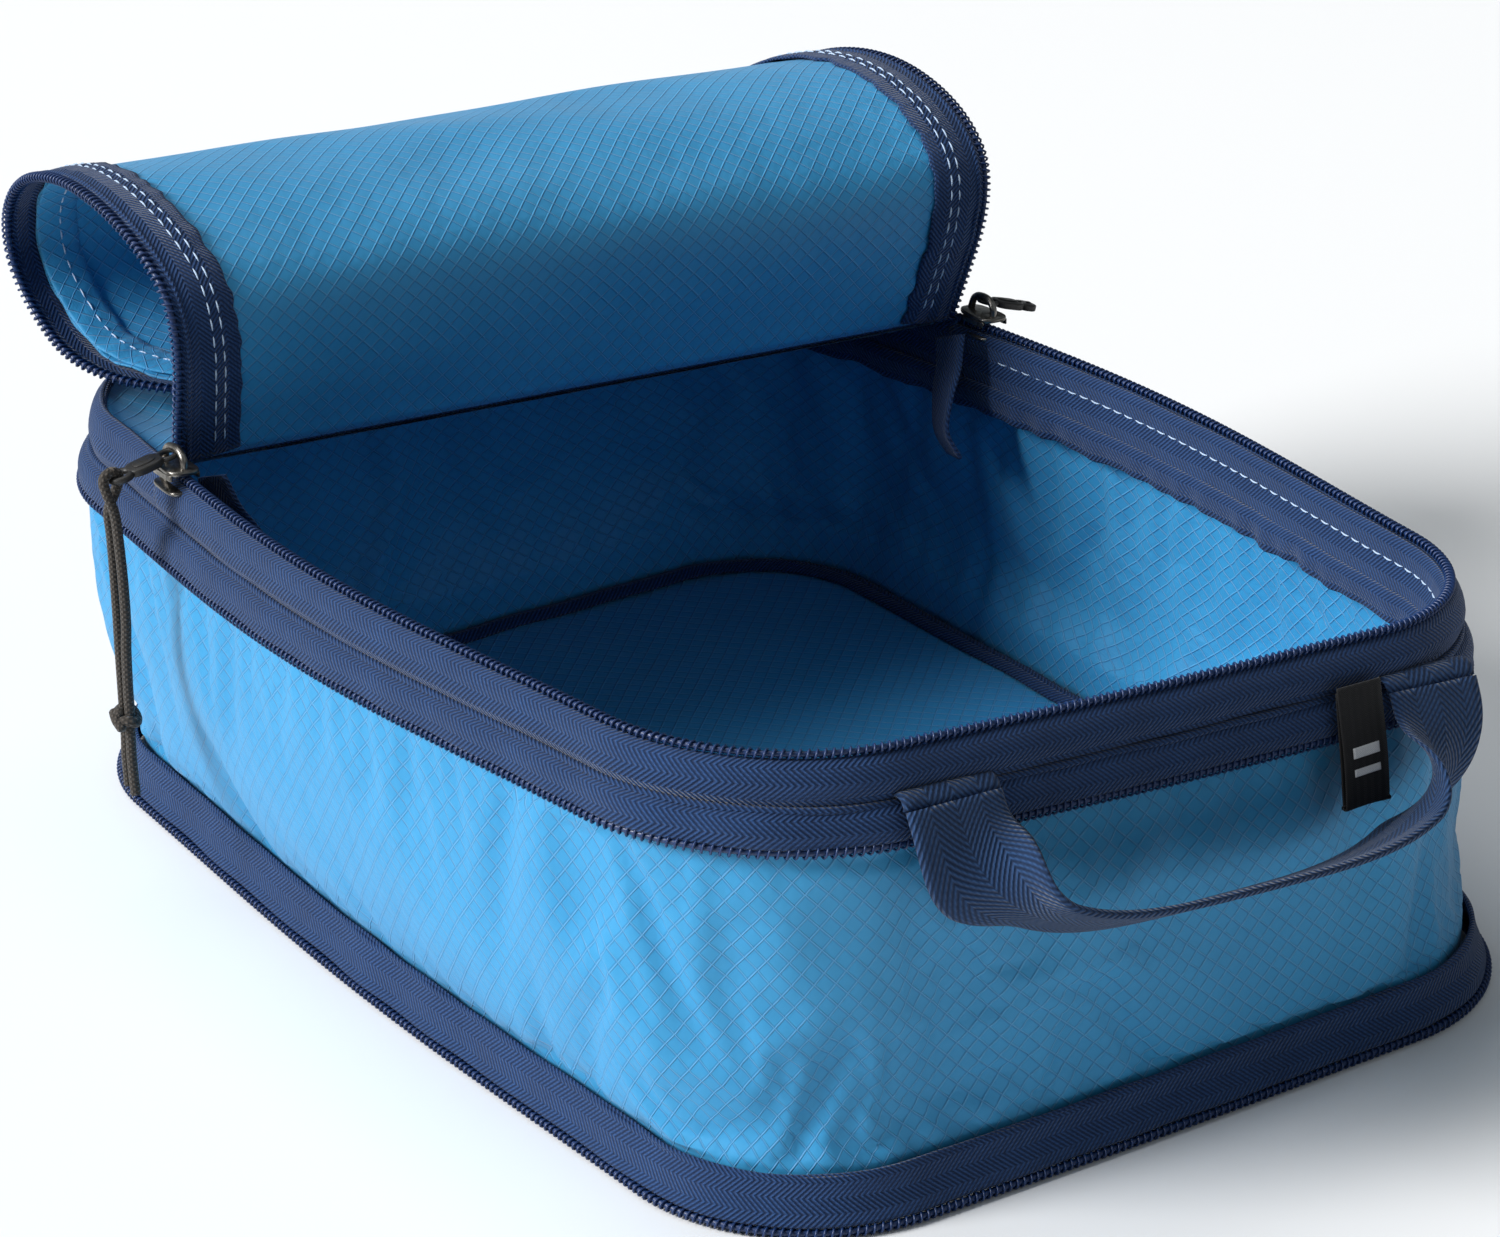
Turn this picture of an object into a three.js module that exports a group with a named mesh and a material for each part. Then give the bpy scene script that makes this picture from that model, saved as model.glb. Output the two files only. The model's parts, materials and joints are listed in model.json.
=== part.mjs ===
// Soft travel packing cube with a roll-back lid, a second zip that compresses it, and a webbing handle.
// Millimetres, +Z up, -Y is the handle side. The origin is on the floor under the middle of the base.
import * as THREE from 'three';

// ---------- driving dimensions ----------
const FABRIC = 1.0;                       // thickness that stands for one layer of fabric
const GAP = 0.35;                         // clearance between pieces that touch
const BASE = { halfX: 90, halfY: 127.5, radius: 35, bowX: 4, bowY: 1 };   // bow: how far the sides curve out
const PANEL_INSET = 4;                    // from the base outline to the edge of the base panel
const GUSSET = { footInset: 6, headInset: 1.4, bulge: 1.6 };
const RIM = { halfX: 87, halfY: 123, radius: 35, bowX: 9, bowY: 1.5 };
const RIM_CENTRE = [-4, 0.8, 81.5];       // the loaded cube leans a little to its left
const RIM_FALL_BACK = 0.04;               // fall of the rim per mm towards the hinge side
const RIM_FALL_RIGHT = 0.07;              // fall of the rim per mm towards its right
const TAPE_DROP = 8.4;                    // visible height of the main zip tape below its coil
const BAND_DROP = 15.2;                   // bottom of the compression tape below the main coil
const SKIRT_TOP = 10.5;                   // height where the bottom tape meets the gusset
const COIL = 2.0;                         // width across one zip coil
const HINGE_V = 62;                       // lid hinge line, measured from the rim's centre
const LID_STRIPS = 8;                     // the rolled lid turns at this many lines
const LID_CLEARANCE = 3.2;                // from the rim outline to the edge of the lid
const LID_TAPE = 11;                      // width of the lid's zip tape
const ROLL = { halfY: 40.5, halfZ: 23, startDeg: 195, lift: 1.8, evenness: 0.03, arcToChord: 1.025 };
const CORD = { diameter: 2.0, tailDiameter: 3.4, kneeZ: 54, knotZ: 39, knotRadius: 3, endZ: 24 };
const HANDLE = { centreU: 7.5, halfSpan: 52, width: 20, thickness: 1.8, reach: 13, drop: 24 };

// ---------- materials ----------
const fabricBlue = new THREE.MeshStandardMaterial({ color: 0x4f9fd8, roughness: 0.55, metalness: 0 });
const tapeNavy = new THREE.MeshStandardMaterial({ color: 0x1c3763, roughness: 0.8, metalness: 0 });
const coilNavy = new THREE.MeshStandardMaterial({ color: 0x142a50, roughness: 0.45, metalness: 0 });
const webbingNavy = new THREE.MeshStandardMaterial({ color: 0x213d66, roughness: 0.85, metalness: 0 });
const sliderMetal = new THREE.MeshStandardMaterial({ color: 0x2b2a28, roughness: 0.35, metalness: 0.8 });
const pullBlack = new THREE.MeshStandardMaterial({ color: 0x141414, roughness: 0.5, metalness: 0 });
const cordBlack = new THREE.MeshStandardMaterial({ color: 0x1b1a19, roughness: 0.9, metalness: 0 });
const labelBlack = new THREE.MeshStandardMaterial({ color: 0x101112, roughness: 0.7, metalness: 0 });

// ---------- geometry helpers ----------
const vec = (x, y, z) => new THREE.Vector3(x, y, z);

// A closed body through a list of sections, each a closed loop with the same number of points.
function skin(sections, isLoop = false) {
  const count = sections.length;
  const size = sections[0].length;
  const positions = sections.flat().flatMap((p) => [p.x, p.y, p.z]);
  const index = [];
  const last = isLoop ? count : count - 1;
  for (let i = 0; i < last; i += 1) {
    for (let j = 0; j < size; j += 1) {
      const a = i * size + j;
      const b = i * size + ((j + 1) % size);
      const c = ((i + 1) % count) * size + j;
      const d = ((i + 1) % count) * size + ((j + 1) % size);
      index.push(a, c, b, b, c, d);
    }
  }
  if (!isLoop) {
    const half = size / 2;                // sections are strips: a near side and a far side
    const end = (count - 1) * size;
    for (let j = 0; j < half - 1; j += 1) {
      const k = size - 1 - j;
      index.push(j, j + 1, k, j + 1, k - 1, k);
      index.push(end + j, end + k, end + j + 1, end + j + 1, end + k, end + k - 1);
    }
  }
  if (signedVolume(positions, index) < 0) {
    for (let i = 0; i < index.length; i += 3) {
      [index[i + 1], index[i + 2]] = [index[i + 2], index[i + 1]];
    }
  }
  const geometry = new THREE.BufferGeometry();
  geometry.setAttribute('position', new THREE.Float32BufferAttribute(positions, 3));
  geometry.setIndex(index);
  geometry.computeVertexNormals();
  return geometry;
}

function signedVolume(positions, index) {
  const corner = (i) => vec(positions[3 * i], positions[3 * i + 1], positions[3 * i + 2]);
  let volume = 0;
  for (let i = 0; i < index.length; i += 3) {
    const [a, b, c] = [corner(index[i]), corner(index[i + 1]), corner(index[i + 2])];
    volume += a.dot(b.cross(c)) / 6;
  }
  return volume;
}

// Half width of a rounded rectangle with bowed sides, at a distance v along its length.
function halfWidth(shape, v) {
  const corner = shape.halfY - shape.radius;
  const past = Math.max(0, Math.abs(v) - corner);
  const straight = shape.halfX - shape.radius + Math.sqrt(Math.max(0, shape.radius ** 2 - past ** 2));
  return straight + bow(shape.bowX, v, shape.halfY);
}

function bow(amount, along, half) {
  return amount * Math.cos((Math.PI / 2) * Math.min(1, Math.abs(along) / half)) ** 2;
}

// The outline as points with outward normals, anticlockwise from the middle of the right side.
function outline(shape, perCorner = 7, perSide = 6) {
  const { halfX, halfY, radius, bowX, bowY } = shape;
  const insetX = halfX - radius;
  const insetY = halfY - radius;
  const signs = [[1, 1], [-1, 1], [-1, -1], [1, -1]];
  const bare = [];
  signs.forEach(([signX, signY], corner) => {
    for (let i = 0; i < perCorner; i += 1) {
      const angle = (Math.PI / 2) * (corner + i / (perCorner - 1));
      bare.push([signX * insetX + radius * Math.cos(angle), signY * insetY + radius * Math.sin(angle)]);
    }
    const from = bare[bare.length - 1];
    const to = corner % 2 === 0 ? [-from[0], from[1]] : [from[0], -from[1]];
    for (let i = 1; i < perSide; i += 1) {
      const t = i / perSide;
      bare.push([from[0] + (to[0] - from[0]) * t, from[1] + (to[1] - from[1]) * t]);
    }
  });
  const bowed = bare.map(([x, y]) => [
    x + (x / halfX) * bow(bowX, y, halfY),
    y + (y / halfY) * bow(bowY, x, halfX),
  ]);
  const start = bowed.length - perSide / 2;
  const points = bowed.map((_, i) => bowed[(i + start) % bowed.length]);
  return points.map(([x, y], i) => {
    const before = points[(i + points.length - 1) % points.length];
    const after = points[(i + 1) % points.length];
    const normal = new THREE.Vector2(after[1] - before[1], before[0] - after[0]).normalize();
    return { x, y, nx: normal.x, ny: normal.y };
  });
}

// Sections that carry a profile of [outward, up] points along an outline.
function carry(stations, profile, up = 0) {
  return stations.map((s) => profile.map(([out, rise]) => (
    vec(s.x + s.nx * out, s.y + s.ny * out, up + rise))));
}

const band = (inner, outer, low, high) => [[inner, low], [outer, low], [outer, high], [inner, high]];

// A flat or slanted band: [outward, up] at its bottom and at its top, and its thickness.
function slant(outLow, low, outHigh, high, thickness) {
  return [[outLow, low], [outLow + thickness, low], [outHigh + thickness, high], [outHigh, high]];
}

function add(group, name, geometry, material) {
  const mesh = new THREE.Mesh(geometry, material);
  mesh.name = name;
  group.add(mesh);
  return mesh;
}

function tube(points, diameter, sides = 8) {
  const section = new THREE.Shape();
  for (let i = 0; i < sides; i += 1) {
    const angle = (2 * Math.PI * i) / sides;
    const place = [Math.cos(angle) * diameter / 2, Math.sin(angle) * diameter / 2];
    if (i === 0) section.moveTo(...place);
    else section.lineTo(...place);
  }
  section.closePath();
  const path = new THREE.CatmullRomCurve3(points);
  const steps = Math.max(2, Math.round(path.getLength() / (2.5 * diameter)));
  return new THREE.ExtrudeGeometry(section, { steps, extrudePath: path, bevelEnabled: false });
}

// ---------- the two halves ----------
const model = new THREE.Group();
const topHalf = new THREE.Group();
topHalf.position.set(...RIM_CENTRE);
topHalf.rotation.set(-Math.atan(RIM_FALL_BACK), Math.atan(RIM_FALL_RIGHT), 0);
model.add(topHalf);
topHalf.updateMatrixWorld(true);

const baseLine = outline(BASE);
const rimLine = outline(RIM);
const [aroundBack, aroundFront] = splitAtHinge(rimLine);

// The rim behind the hinge line and the rim in front of it, each ending exactly on that line.
function splitAtHinge(line) {
  const first = line.findIndex((s) => s.y > HINGE_V);
  const last = line.length - 1 - [...line].reverse().findIndex((s) => s.y > HINGE_V);
  const cross = (a, b) => {
    const t = (HINGE_V - a.y) / (b.y - a.y);
    const mix = (key) => a[key] + (b[key] - a[key]) * t;
    return { x: mix('x'), y: HINGE_V, nx: mix('nx'), ny: mix('ny') };
  };
  const right = cross(line[first - 1], line[first]);
  const left = cross(line[last], line[last + 1]);
  const back = [right, ...line.slice(first, last + 1), left];
  const front = [left, ...line.slice(last + 1), ...line.slice(0, first), right];
  return [back, front];
}

function makeBase() {
  const edge = baseLine.map((s) => (
    new THREE.Vector2(s.x - s.nx * PANEL_INSET, s.y - s.ny * PANEL_INSET)));
  const shape = new THREE.Shape(edge);
  const panel = new THREE.ExtrudeGeometry(shape, { depth: FABRIC, bevelEnabled: false });
  add(model, 'base_panel', panel, fabricBlue);
  add(model, 'base_zip_coil', skin(carry(baseLine, band(-1, 1, 0, COIL)), true), coilNavy);
  const skirt = slant(-1 - GAP, COIL + GAP, -3, SKIRT_TOP, -FABRIC);
  add(model, 'base_zip_tape', skin(carry(baseLine, skirt), true), tapeNavy);
  const binding = band(-9.8, -7.4, FABRIC + GAP, 4.5);
  add(model, 'base_seam_binding', skin(carry(baseLine, binding), true), tapeNavy);
}

// The gusset is one strip of fabric from the base seam up to the band under the main zip.
function makeGusset() {
  const { footInset, headInset, bulge } = GUSSET;
  const levels = 4;
  const foot = FABRIC + GAP + 0.1;
  const head = -TAPE_DROP - 1.2;
  const sections = baseLine.map((s, i) => {
    const r = rimLine[i];
    const upper = topHalf.localToWorld(vec(r.x - r.nx * headInset, r.y - r.ny * headInset, head));
    const lower = vec(s.x - s.nx * footInset, s.y - s.ny * footInset, foot);
    const face = (depth) => Array.from({ length: levels + 1 }, (_, k) => {
      const out = bulge * Math.sin((Math.PI * k) / levels) - depth;
      const p = lower.clone().lerp(upper, k / levels);
      return vec(p.x + s.nx * out, p.y + s.ny * out, p.z);
    });
    return [...face(0), ...face(FABRIC).reverse()];
  });
  add(model, 'side_gusset', skin(sections, true), fabricBlue);
}

function makeRim() {
  const onTop = (name, line, profile, material, isLoop) => (
    add(topHalf, name, skin(carry(line, profile), isLoop), material));
  const tape = slant(1.2, -TAPE_DROP, -0.5, -COIL / 2 - GAP, -0.9 * FABRIC);
  onTop('main_zip_tape', aroundFront, tape, tapeNavy, false);
  onTop('main_zip_coil', aroundFront, band(-1.6, 0.4, -COIL / 2, COIL / 2), coilNavy, false);
  const rear = slant(1.2, -TAPE_DROP, -0.5, 0, -0.9 * FABRIC);
  onTop('rear_rim_band', aroundBack.slice(1, -1), rear, tapeNavy, false);
  const pipingLow = -TAPE_DROP - 1.5;
  onTop('rim_piping', rimLine, band(0.9, 2.6, pipingLow, -TAPE_DROP - GAP), tapeNavy, true);
  const lower = slant(3.8, -BAND_DROP, 1.8, pipingLow - GAP, -FABRIC);
  onTop('compression_zip_tape', rimLine, lower, tapeNavy, true);
  const coilHigh = -BAND_DROP - GAP;
  onTop('compression_zip_coil', rimLine, band(2.9, 2.9 + COIL, coilHigh - COIL, coilHigh), coilNavy, true);
  const inner = slant(-3.6, -TAPE_DROP - 8, -2.7, -TAPE_DROP - 1.6, -FABRIC);
  onTop('rim_seam_binding', rimLine, inner, tapeNavy, true);
}

// The fixed panel behind the hinge sags under the rolled lid.
function makeBackPanel() {
  const across = [-1, -0.9, -0.6, 0, 0.6, 0.9, 1];
  const sag = [[1, 1.2], [7, 2.6], [16, 3.4], [33, 3.8], [48, 3.6], [55, 3.2], [58, 2.8]];
  const sections = sag.map(([behindHinge, fall]) => {
    const v = HINGE_V + behindHinge;
    const reach = halfWidth(RIM, v) - LID_CLEARANCE;
    const top = across.map((t) => vec(t * reach, v, -fall));
    const under = across.map((t) => vec(t * reach, v, -fall - FABRIC));
    return [...top, ...under.reverse()];
  });
  add(topHalf, 'top_back_panel', skin(sections), fabricBlue);
  const seam = [-1, 1].map((side) => {
    const reach = side * (halfWidth(RIM, HINGE_V) - 4.5);
    return [vec(reach, HINGE_V + 0.8, 0.9), vec(reach, HINGE_V + 2.6, 0.9),
      vec(reach, HINGE_V + 2.6, -0.8), vec(reach, HINGE_V + 0.8, -0.8)];
  });
  add(topHalf, 'hinge_seam_binding', skin(seam), tapeNavy);
  for (const [side, label] of [[-1, 'left'], [1, 'right']]) {
    const u = side * (halfWidth(RIM, HINGE_V) - 7.5);
    const strip = [-1.6, -24].map((w, i) => {
      const lean = i * side * -2;
      const v = HINGE_V - 8 - i * 6;
      return [vec(u + lean, v - 5, w), vec(u + lean, v + 5, w),
        vec(u + lean - side * 0.8, v + 5, w), vec(u + lean - side * 0.8, v - 5, w)];
    });
    add(topHalf, `zip_tape_end_${label}`, skin(strip), tapeNavy);
  }
}

// ---------- the lid: strips that lie flat when closed and stand as an oval roll when open ----------
// The lid's fold lines, seen along the hinge. They sit closer together where the oval bends more.
function rollCorners() {
  const { halfY, halfZ, lift, evenness } = ROLL;
  const start = THREE.MathUtils.degToRad(ROLL.startDeg);
  const onOval = (angle) => new THREE.Vector2(halfY * Math.cos(angle), halfZ * Math.sin(angle));
  const heading = new THREE.Vector2(halfY * Math.sin(start), -halfZ * Math.cos(start)).normalize();
  const leadIn = (onOval(start).y + halfZ + lift) / heading.y;
  const hinge = onOval(start).addScaledVector(heading, -leadIn);
  const path = [{ p: hinge, length: 0, weight: 0 }];
  const lidLength = HINGE_V + RIM.halfY - LID_CLEARANCE;
  const steps = 4000;
  for (let i = 0; i <= steps; i += 1) {
    const angle = start - (i / steps) * 2 * Math.PI;
    const p = onOval(angle);
    const last = path[path.length - 1];
    const speed = Math.hypot(halfY * Math.sin(angle), halfZ * Math.cos(angle));
    const bend = i === 0 ? 0 : Math.sqrt((halfY * halfZ) / speed ** 3);
    const step = p.distanceTo(last.p);
    path.push({ p, length: last.length + step, weight: last.weight + step * (bend + evenness) });
    if (last.length + step > lidLength * ROLL.arcToChord) break;
  }
  const whole = path[path.length - 1].weight;
  return Array.from({ length: LID_STRIPS + 1 }, (_, k) => {
    const target = (whole * k) / LID_STRIPS;
    const after = Math.max(1, path.findIndex((q) => q.weight >= target - 1e-9));
    const [near, far] = [path[after - 1], path[after]];
    return near.p.clone().lerp(far.p, (target - near.weight) / (far.weight - near.weight));
  });
}

function makeLid() {
  const corners = rollCorners();
  const steps = corners.slice(1).map((p, k) => p.clone().sub(corners[k]));
  const total = steps.reduce((sum, s) => sum + s.length(), 0);
  const lid = {
    halfX: RIM.halfX - LID_CLEARANCE,
    halfY: total - HINGE_V,
    radius: RIM.radius - LID_CLEARANCE,
    bowX: RIM.bowX,
    bowY: 0,
  };
  let parent = topHalf;
  let before = 0;
  let v = HINGE_V;
  steps.forEach((step, k) => {
    const length = step.length();
    const heading = Math.atan2(step.y, step.x);       // closed, every strip heads along -Y
    let turn = heading - Math.PI - before;
    while (turn > 0.2) turn -= 2 * Math.PI;
    while (turn < -Math.PI) turn += 2 * Math.PI;
    before += turn;
    const strip = new THREE.Group();
    strip.position.set(0, k === 0 ? HINGE_V : -steps[k - 1].length(), 0);
    strip.rotation.x = turn;
    parent.add(strip);
    addStrip(strip, k + 1, v, length, lid);
    parent = strip;
    v -= length;
  });
}

function addStrip(strip, number, v, length, lid) {
  const isTip = number === LID_STRIPS;
  const edge = 0.8;
  const stations = [0, 0.25, 0.5, 0.75, 1].map((t) => edge + t * (length - 2 * edge));
  const half = FABRIC / 2;
  const box = (inner, outer, y, thick) => [vec(inner, y, -thick), vec(outer, y, -thick),
    vec(outer, y, thick), vec(inner, y, thick)];
  const reach = stations.map((s) => halfWidth(lid, v - s));
  if (isTip) {
    const tip = outline(lid).filter((s) => s.y < v - edge);
    const moved = (s, d) => [s.x - s.nx * d, s.y - s.ny * d - v];
    const rim = tip.map((s) => {
      const [ox, oy] = moved(s, 0);
      const [ix, iy] = moved(s, LID_TAPE);
      return [vec(ix, iy, -0.6), vec(ox, oy, -0.9), vec(ox, oy, 0.9), vec(ix, iy, 0.6)];
    });
    add(strip, 'lid_front_zip', skin(rim), tapeNavy);
    const inset = LID_TAPE + 2 * GAP;
    const inner = { ...lid, halfX: lid.halfX - inset, halfY: lid.halfY - inset, radius: lid.radius - inset };
    const panel = [0, 0.4, 0.7, 0.9, 1].map((t) => {
      const y = edge + t * (length - inset - 2 * edge);
      const w = halfWidth(inner, v - y);
      return box(-w, w, -y, half);
    });
    add(strip, `lid_panel_${number}`, skin(panel), fabricBlue);
    return;
  }
  const panel = stations.map((y, i) => {
    const w = reach[i] - LID_TAPE - GAP;
    return box(-w, w, -y, half);
  });
  add(strip, `lid_panel_${number}`, skin(panel), fabricBlue);
  for (const [side, label] of [[-1, 'left'], [1, 'right']]) {
    const tape = stations.map((y, i) => (
      box(side * (reach[i] - LID_TAPE), side * reach[i], -y, 0.8)));
    add(strip, `lid_zip_${label}_${number}`, skin(tape), tapeNavy);
  }
}

// ---------- sliders, pulls and the cord on the left pull ----------
function makeSliders() {
  for (const [side, label] of [[-1, 'left'], [1, 'right']]) {
    const u = side * (halfWidth(RIM, HINGE_V - 4) + 1.9);
    const slider = new THREE.Group();
    slider.position.set(u, HINGE_V - 6, 1.0 + GAP);
    topHalf.add(slider);
    const body = new THREE.BoxGeometry(7, 11, 3.2);
    body.translate(0, 0, 1.6);
    add(slider, `slider_${label}`, body, sliderMetal);
    const pull = new THREE.BoxGeometry(13, 5, 1.4);
    pull.translate(side * 7.2, 0, 0);
    const tab = add(slider, `pull_${label}`, pull, pullBlack);
    tab.position.set(side * 1.0, 0, 5.1);
    tab.rotation.y = side * 0.25;
  }
}

function makeCord() {
  const eye = topHalf.localToWorld(vec(-(halfWidth(RIM, HINGE_V - 4) + 14.2), HINGE_V - 6, 0.2));
  const strand = (z, dy) => vec(eye.x, eye.y + dy, z);
  const offset = CORD.diameter / 2 + 0.2;
  const kneeRoom = CORD.diameter / 2 + 0.15;    // the lower length can lie out flat without touching
  [[-offset, 'a'], [offset, 'b']].forEach(([dy, label]) => {
    const upper = [strand(eye.z - 1.2, dy), strand(CORD.kneeZ + GAP, dy)];
    const lower = [strand(CORD.kneeZ - kneeRoom, dy), strand(CORD.knotZ + CORD.knotRadius + 0.4, dy)];
    add(model, `cord_upper_${label}`, tube(upper, CORD.diameter), cordBlack);
    add(model, `cord_lower_${label}`, tube(lower, CORD.diameter), cordBlack);
  });
  const knot = new THREE.SphereGeometry(CORD.knotRadius, 10, 8);
  knot.scale(0.9, 1.1, 1.1);
  knot.translate(eye.x, eye.y, CORD.knotZ);
  add(model, 'cord_knot', knot, cordBlack);
  const tail = [vec(eye.x, eye.y, CORD.knotZ - CORD.knotRadius - 0.7), vec(eye.x, eye.y + 0.5, CORD.endZ)];
  add(model, 'cord_tail', tube(tail, CORD.tailDiameter), cordBlack);
}

// ---------- handle and label on the front band ----------
function makeHandle() {
  const { centreU, halfSpan, width, thickness, reach, drop } = HANDLE;
  const front = -(RIM.halfY + RIM.bowY) - 4.4;
  const top = -TAPE_DROP - 0.6;
  const count = 24;
  const down = vec(0, -reach, -drop).normalize();
  const plane = vec(0, -drop, reach).normalize();
  const depth = Math.hypot(reach, drop);
  const path = (t) => {
    const angle = Math.PI * t;
    const along = -Math.sign(Math.cos(angle)) * Math.abs(Math.cos(angle)) ** 0.55 * halfSpan;
    const sink = Math.sin(angle) ** 0.8 * depth;
    return vec(centreU + along, front, top).addScaledVector(down, sink + 0.6);
  };
  const sections = [];
  for (let i = 0; i <= count; i += 1) {
    const t = i / count;
    const tangent = path(Math.min(1, t + 0.01)).sub(path(Math.max(0, t - 0.01))).normalize();
    const turn = (Math.PI / 2) * THREE.MathUtils.smoothstep(Math.min(t, 1 - t), 0.02, 0.3);
    const flat = plane.clone().cross(tangent).normalize();
    const across = flat.clone().multiplyScalar(Math.cos(turn)).addScaledVector(plane, Math.sin(turn));
    const normal = across.clone().cross(tangent).normalize();
    const corner = (a, b) => path(t).addScaledVector(across, a * width / 2)
      .addScaledVector(normal, b * thickness / 2);
    sections.push([corner(-1, -1), corner(1, -1), corner(1, 1), corner(-1, 1)]);
  }
  add(topHalf, 'handle_webbing', skin(sections), webbingNavy);
  for (const [side, label] of [[-1, 'left'], [1, 'right']]) {
    const patch = new THREE.BoxGeometry(width, 1.2, 6);
    patch.translate(centreU + side * halfSpan, front + 0.9, top + 3.6);
    add(topHalf, `handle_anchor_${label}`, patch, webbingNavy);
  }
  const tag = new THREE.BoxGeometry(11, 1.2, 21);
  tag.rotateX(-0.18);
  tag.translate(centreU + halfSpan - width / 2 - 7, front - 2.6, top - 7);
  add(topHalf, 'size_label', tag, labelBlack);
}

// ---------- the compression zip's own slider, parked at the back ----------
function makeCompressionSlider() {
  const y = BASE.halfY + BASE.bowY + 1 + GAP;
  const body = new THREE.BoxGeometry(11, 3.2, 6);
  body.translate(30, y + 1.6, 3.6);
  add(model, 'compression_slider', body, sliderMetal);
  const pull = new THREE.BoxGeometry(5, 13, 1.4);
  const swingRoom = 0.95;                 // the pull turns about its near edge without touching
  pull.translate(30, y + 3.2 + swingRoom + 6.5, 5.6);
  add(model, 'compression_pull', pull, pullBlack);
}

makeBase();
makeGusset();
makeRim();
makeBackPanel();
makeLid();
makeSliders();
makeCord();
makeHandle();
makeCompressionSlider();

export default model;
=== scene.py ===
import json
import math

import bpy
import numpy as np
from mathutils import Matrix, Vector


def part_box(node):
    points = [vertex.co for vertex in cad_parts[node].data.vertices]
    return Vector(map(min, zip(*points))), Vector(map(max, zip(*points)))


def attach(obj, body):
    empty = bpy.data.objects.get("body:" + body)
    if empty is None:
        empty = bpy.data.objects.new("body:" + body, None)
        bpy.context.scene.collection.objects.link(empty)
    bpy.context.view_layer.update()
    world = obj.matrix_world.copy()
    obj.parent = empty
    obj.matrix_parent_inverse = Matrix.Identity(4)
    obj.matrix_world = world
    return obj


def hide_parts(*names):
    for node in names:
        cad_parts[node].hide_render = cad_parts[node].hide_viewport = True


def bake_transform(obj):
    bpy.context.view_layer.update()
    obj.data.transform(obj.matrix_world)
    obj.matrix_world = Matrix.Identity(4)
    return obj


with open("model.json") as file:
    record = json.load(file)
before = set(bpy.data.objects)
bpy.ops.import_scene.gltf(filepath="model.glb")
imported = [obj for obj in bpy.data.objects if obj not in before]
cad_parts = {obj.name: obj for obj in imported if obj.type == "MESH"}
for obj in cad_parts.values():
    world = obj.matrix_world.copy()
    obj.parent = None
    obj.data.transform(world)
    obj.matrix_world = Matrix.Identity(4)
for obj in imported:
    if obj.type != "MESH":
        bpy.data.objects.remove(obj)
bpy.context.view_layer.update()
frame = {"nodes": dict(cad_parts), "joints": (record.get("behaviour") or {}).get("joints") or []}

# ---------- driving dimensions, in millimetres ----------
MM = 0.001               # one millimetre in metres
BASE_SHAPE = dict(half_x=90, half_y=127.5, radius=35, bow_x=4, bow_y=1)
RIM_SHAPE = dict(half_x=87, half_y=123, radius=35, bow_x=9, bow_y=1.5)
RIM_CENTRE = np.array([-4, 0.8, 81.5])
HINGE_V = 62             # the lid's hinge line, in the rim's frame
LID_CLEARANCE = 3.2      # between the lid's outline and the rim's
LID_TAPE = 11
TAPE_DROP = 8.4
BAND_DROP = 15.2
SKIRT_TOP = 10.5
COIL_PITCH = 1.45
WIRE = 0.25              # radius of a coil's wire
CLOTH = 0.4              # thickness of the ripstop
BUCKLE_FRAMES = 24
HANDLE = dict(centre=7.5, half_span=52, width=20, thickness=1.5, reach=13, drop=24)
CORD_DIAMETER = 2.0
KNEE_Z = 54              # heights of the cord's knee, knot and cut ends above the floor
KNOT_Z = 39
CORD_END_Z = 24
SKIRT_LEVEL = 0.13       # where on the wall, from foot to rim, the skirt's seam is
BAND_LEVEL = 0.88        # and where the upper band's seam is
SEAM_ROWS = 6            # rows of the wall's cloth that are held still at each seam
BUCKLE_MOST = 2.6        # the furthest that the simulation may move the wall
STITCH = 2.6
STITCH_GAP = 1.0
STITCH_RADIUS = 0.18
LID_STRIPS = 8
LID_MARGIN = 5.0         # from the lid's edge to the end of its cloth
PULL_TILT = 0.25
PULL_REACH = 10.7
PULL_SEAT = (1.2, 1.9)   # from a pull's hinge to its own frame, inwards and down
FRONT_V = -(RIM_SHAPE["half_y"] + RIM_SHAPE["bow_y"])
WEBBING_TOP = -TAPE_DROP - 0.6
SIDES = ((-1, "left"), (1, "right"))
SLOTS = dict(tape="tape_navy", coil="coil_navy", thread="tape_navy", fabric="fabric_blue",
             webbing="webbing_navy", metal="slider_metal", pull="pull_black", cord="cord_black",
             label="label_black", mark="label_black")

joints = {joint["name"]: joint for joint in frame["joints"]}
AXIS_U = np.array(joints["lid_open"]["axis"])
AXIS_V = -np.array(joints["slider_left_travel"]["axis"])
AXIS_W = np.cross(AXIS_U, AXIS_V)
TOP_AXES = np.stack([AXIS_U, AXIS_V, AXIS_W])


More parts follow.
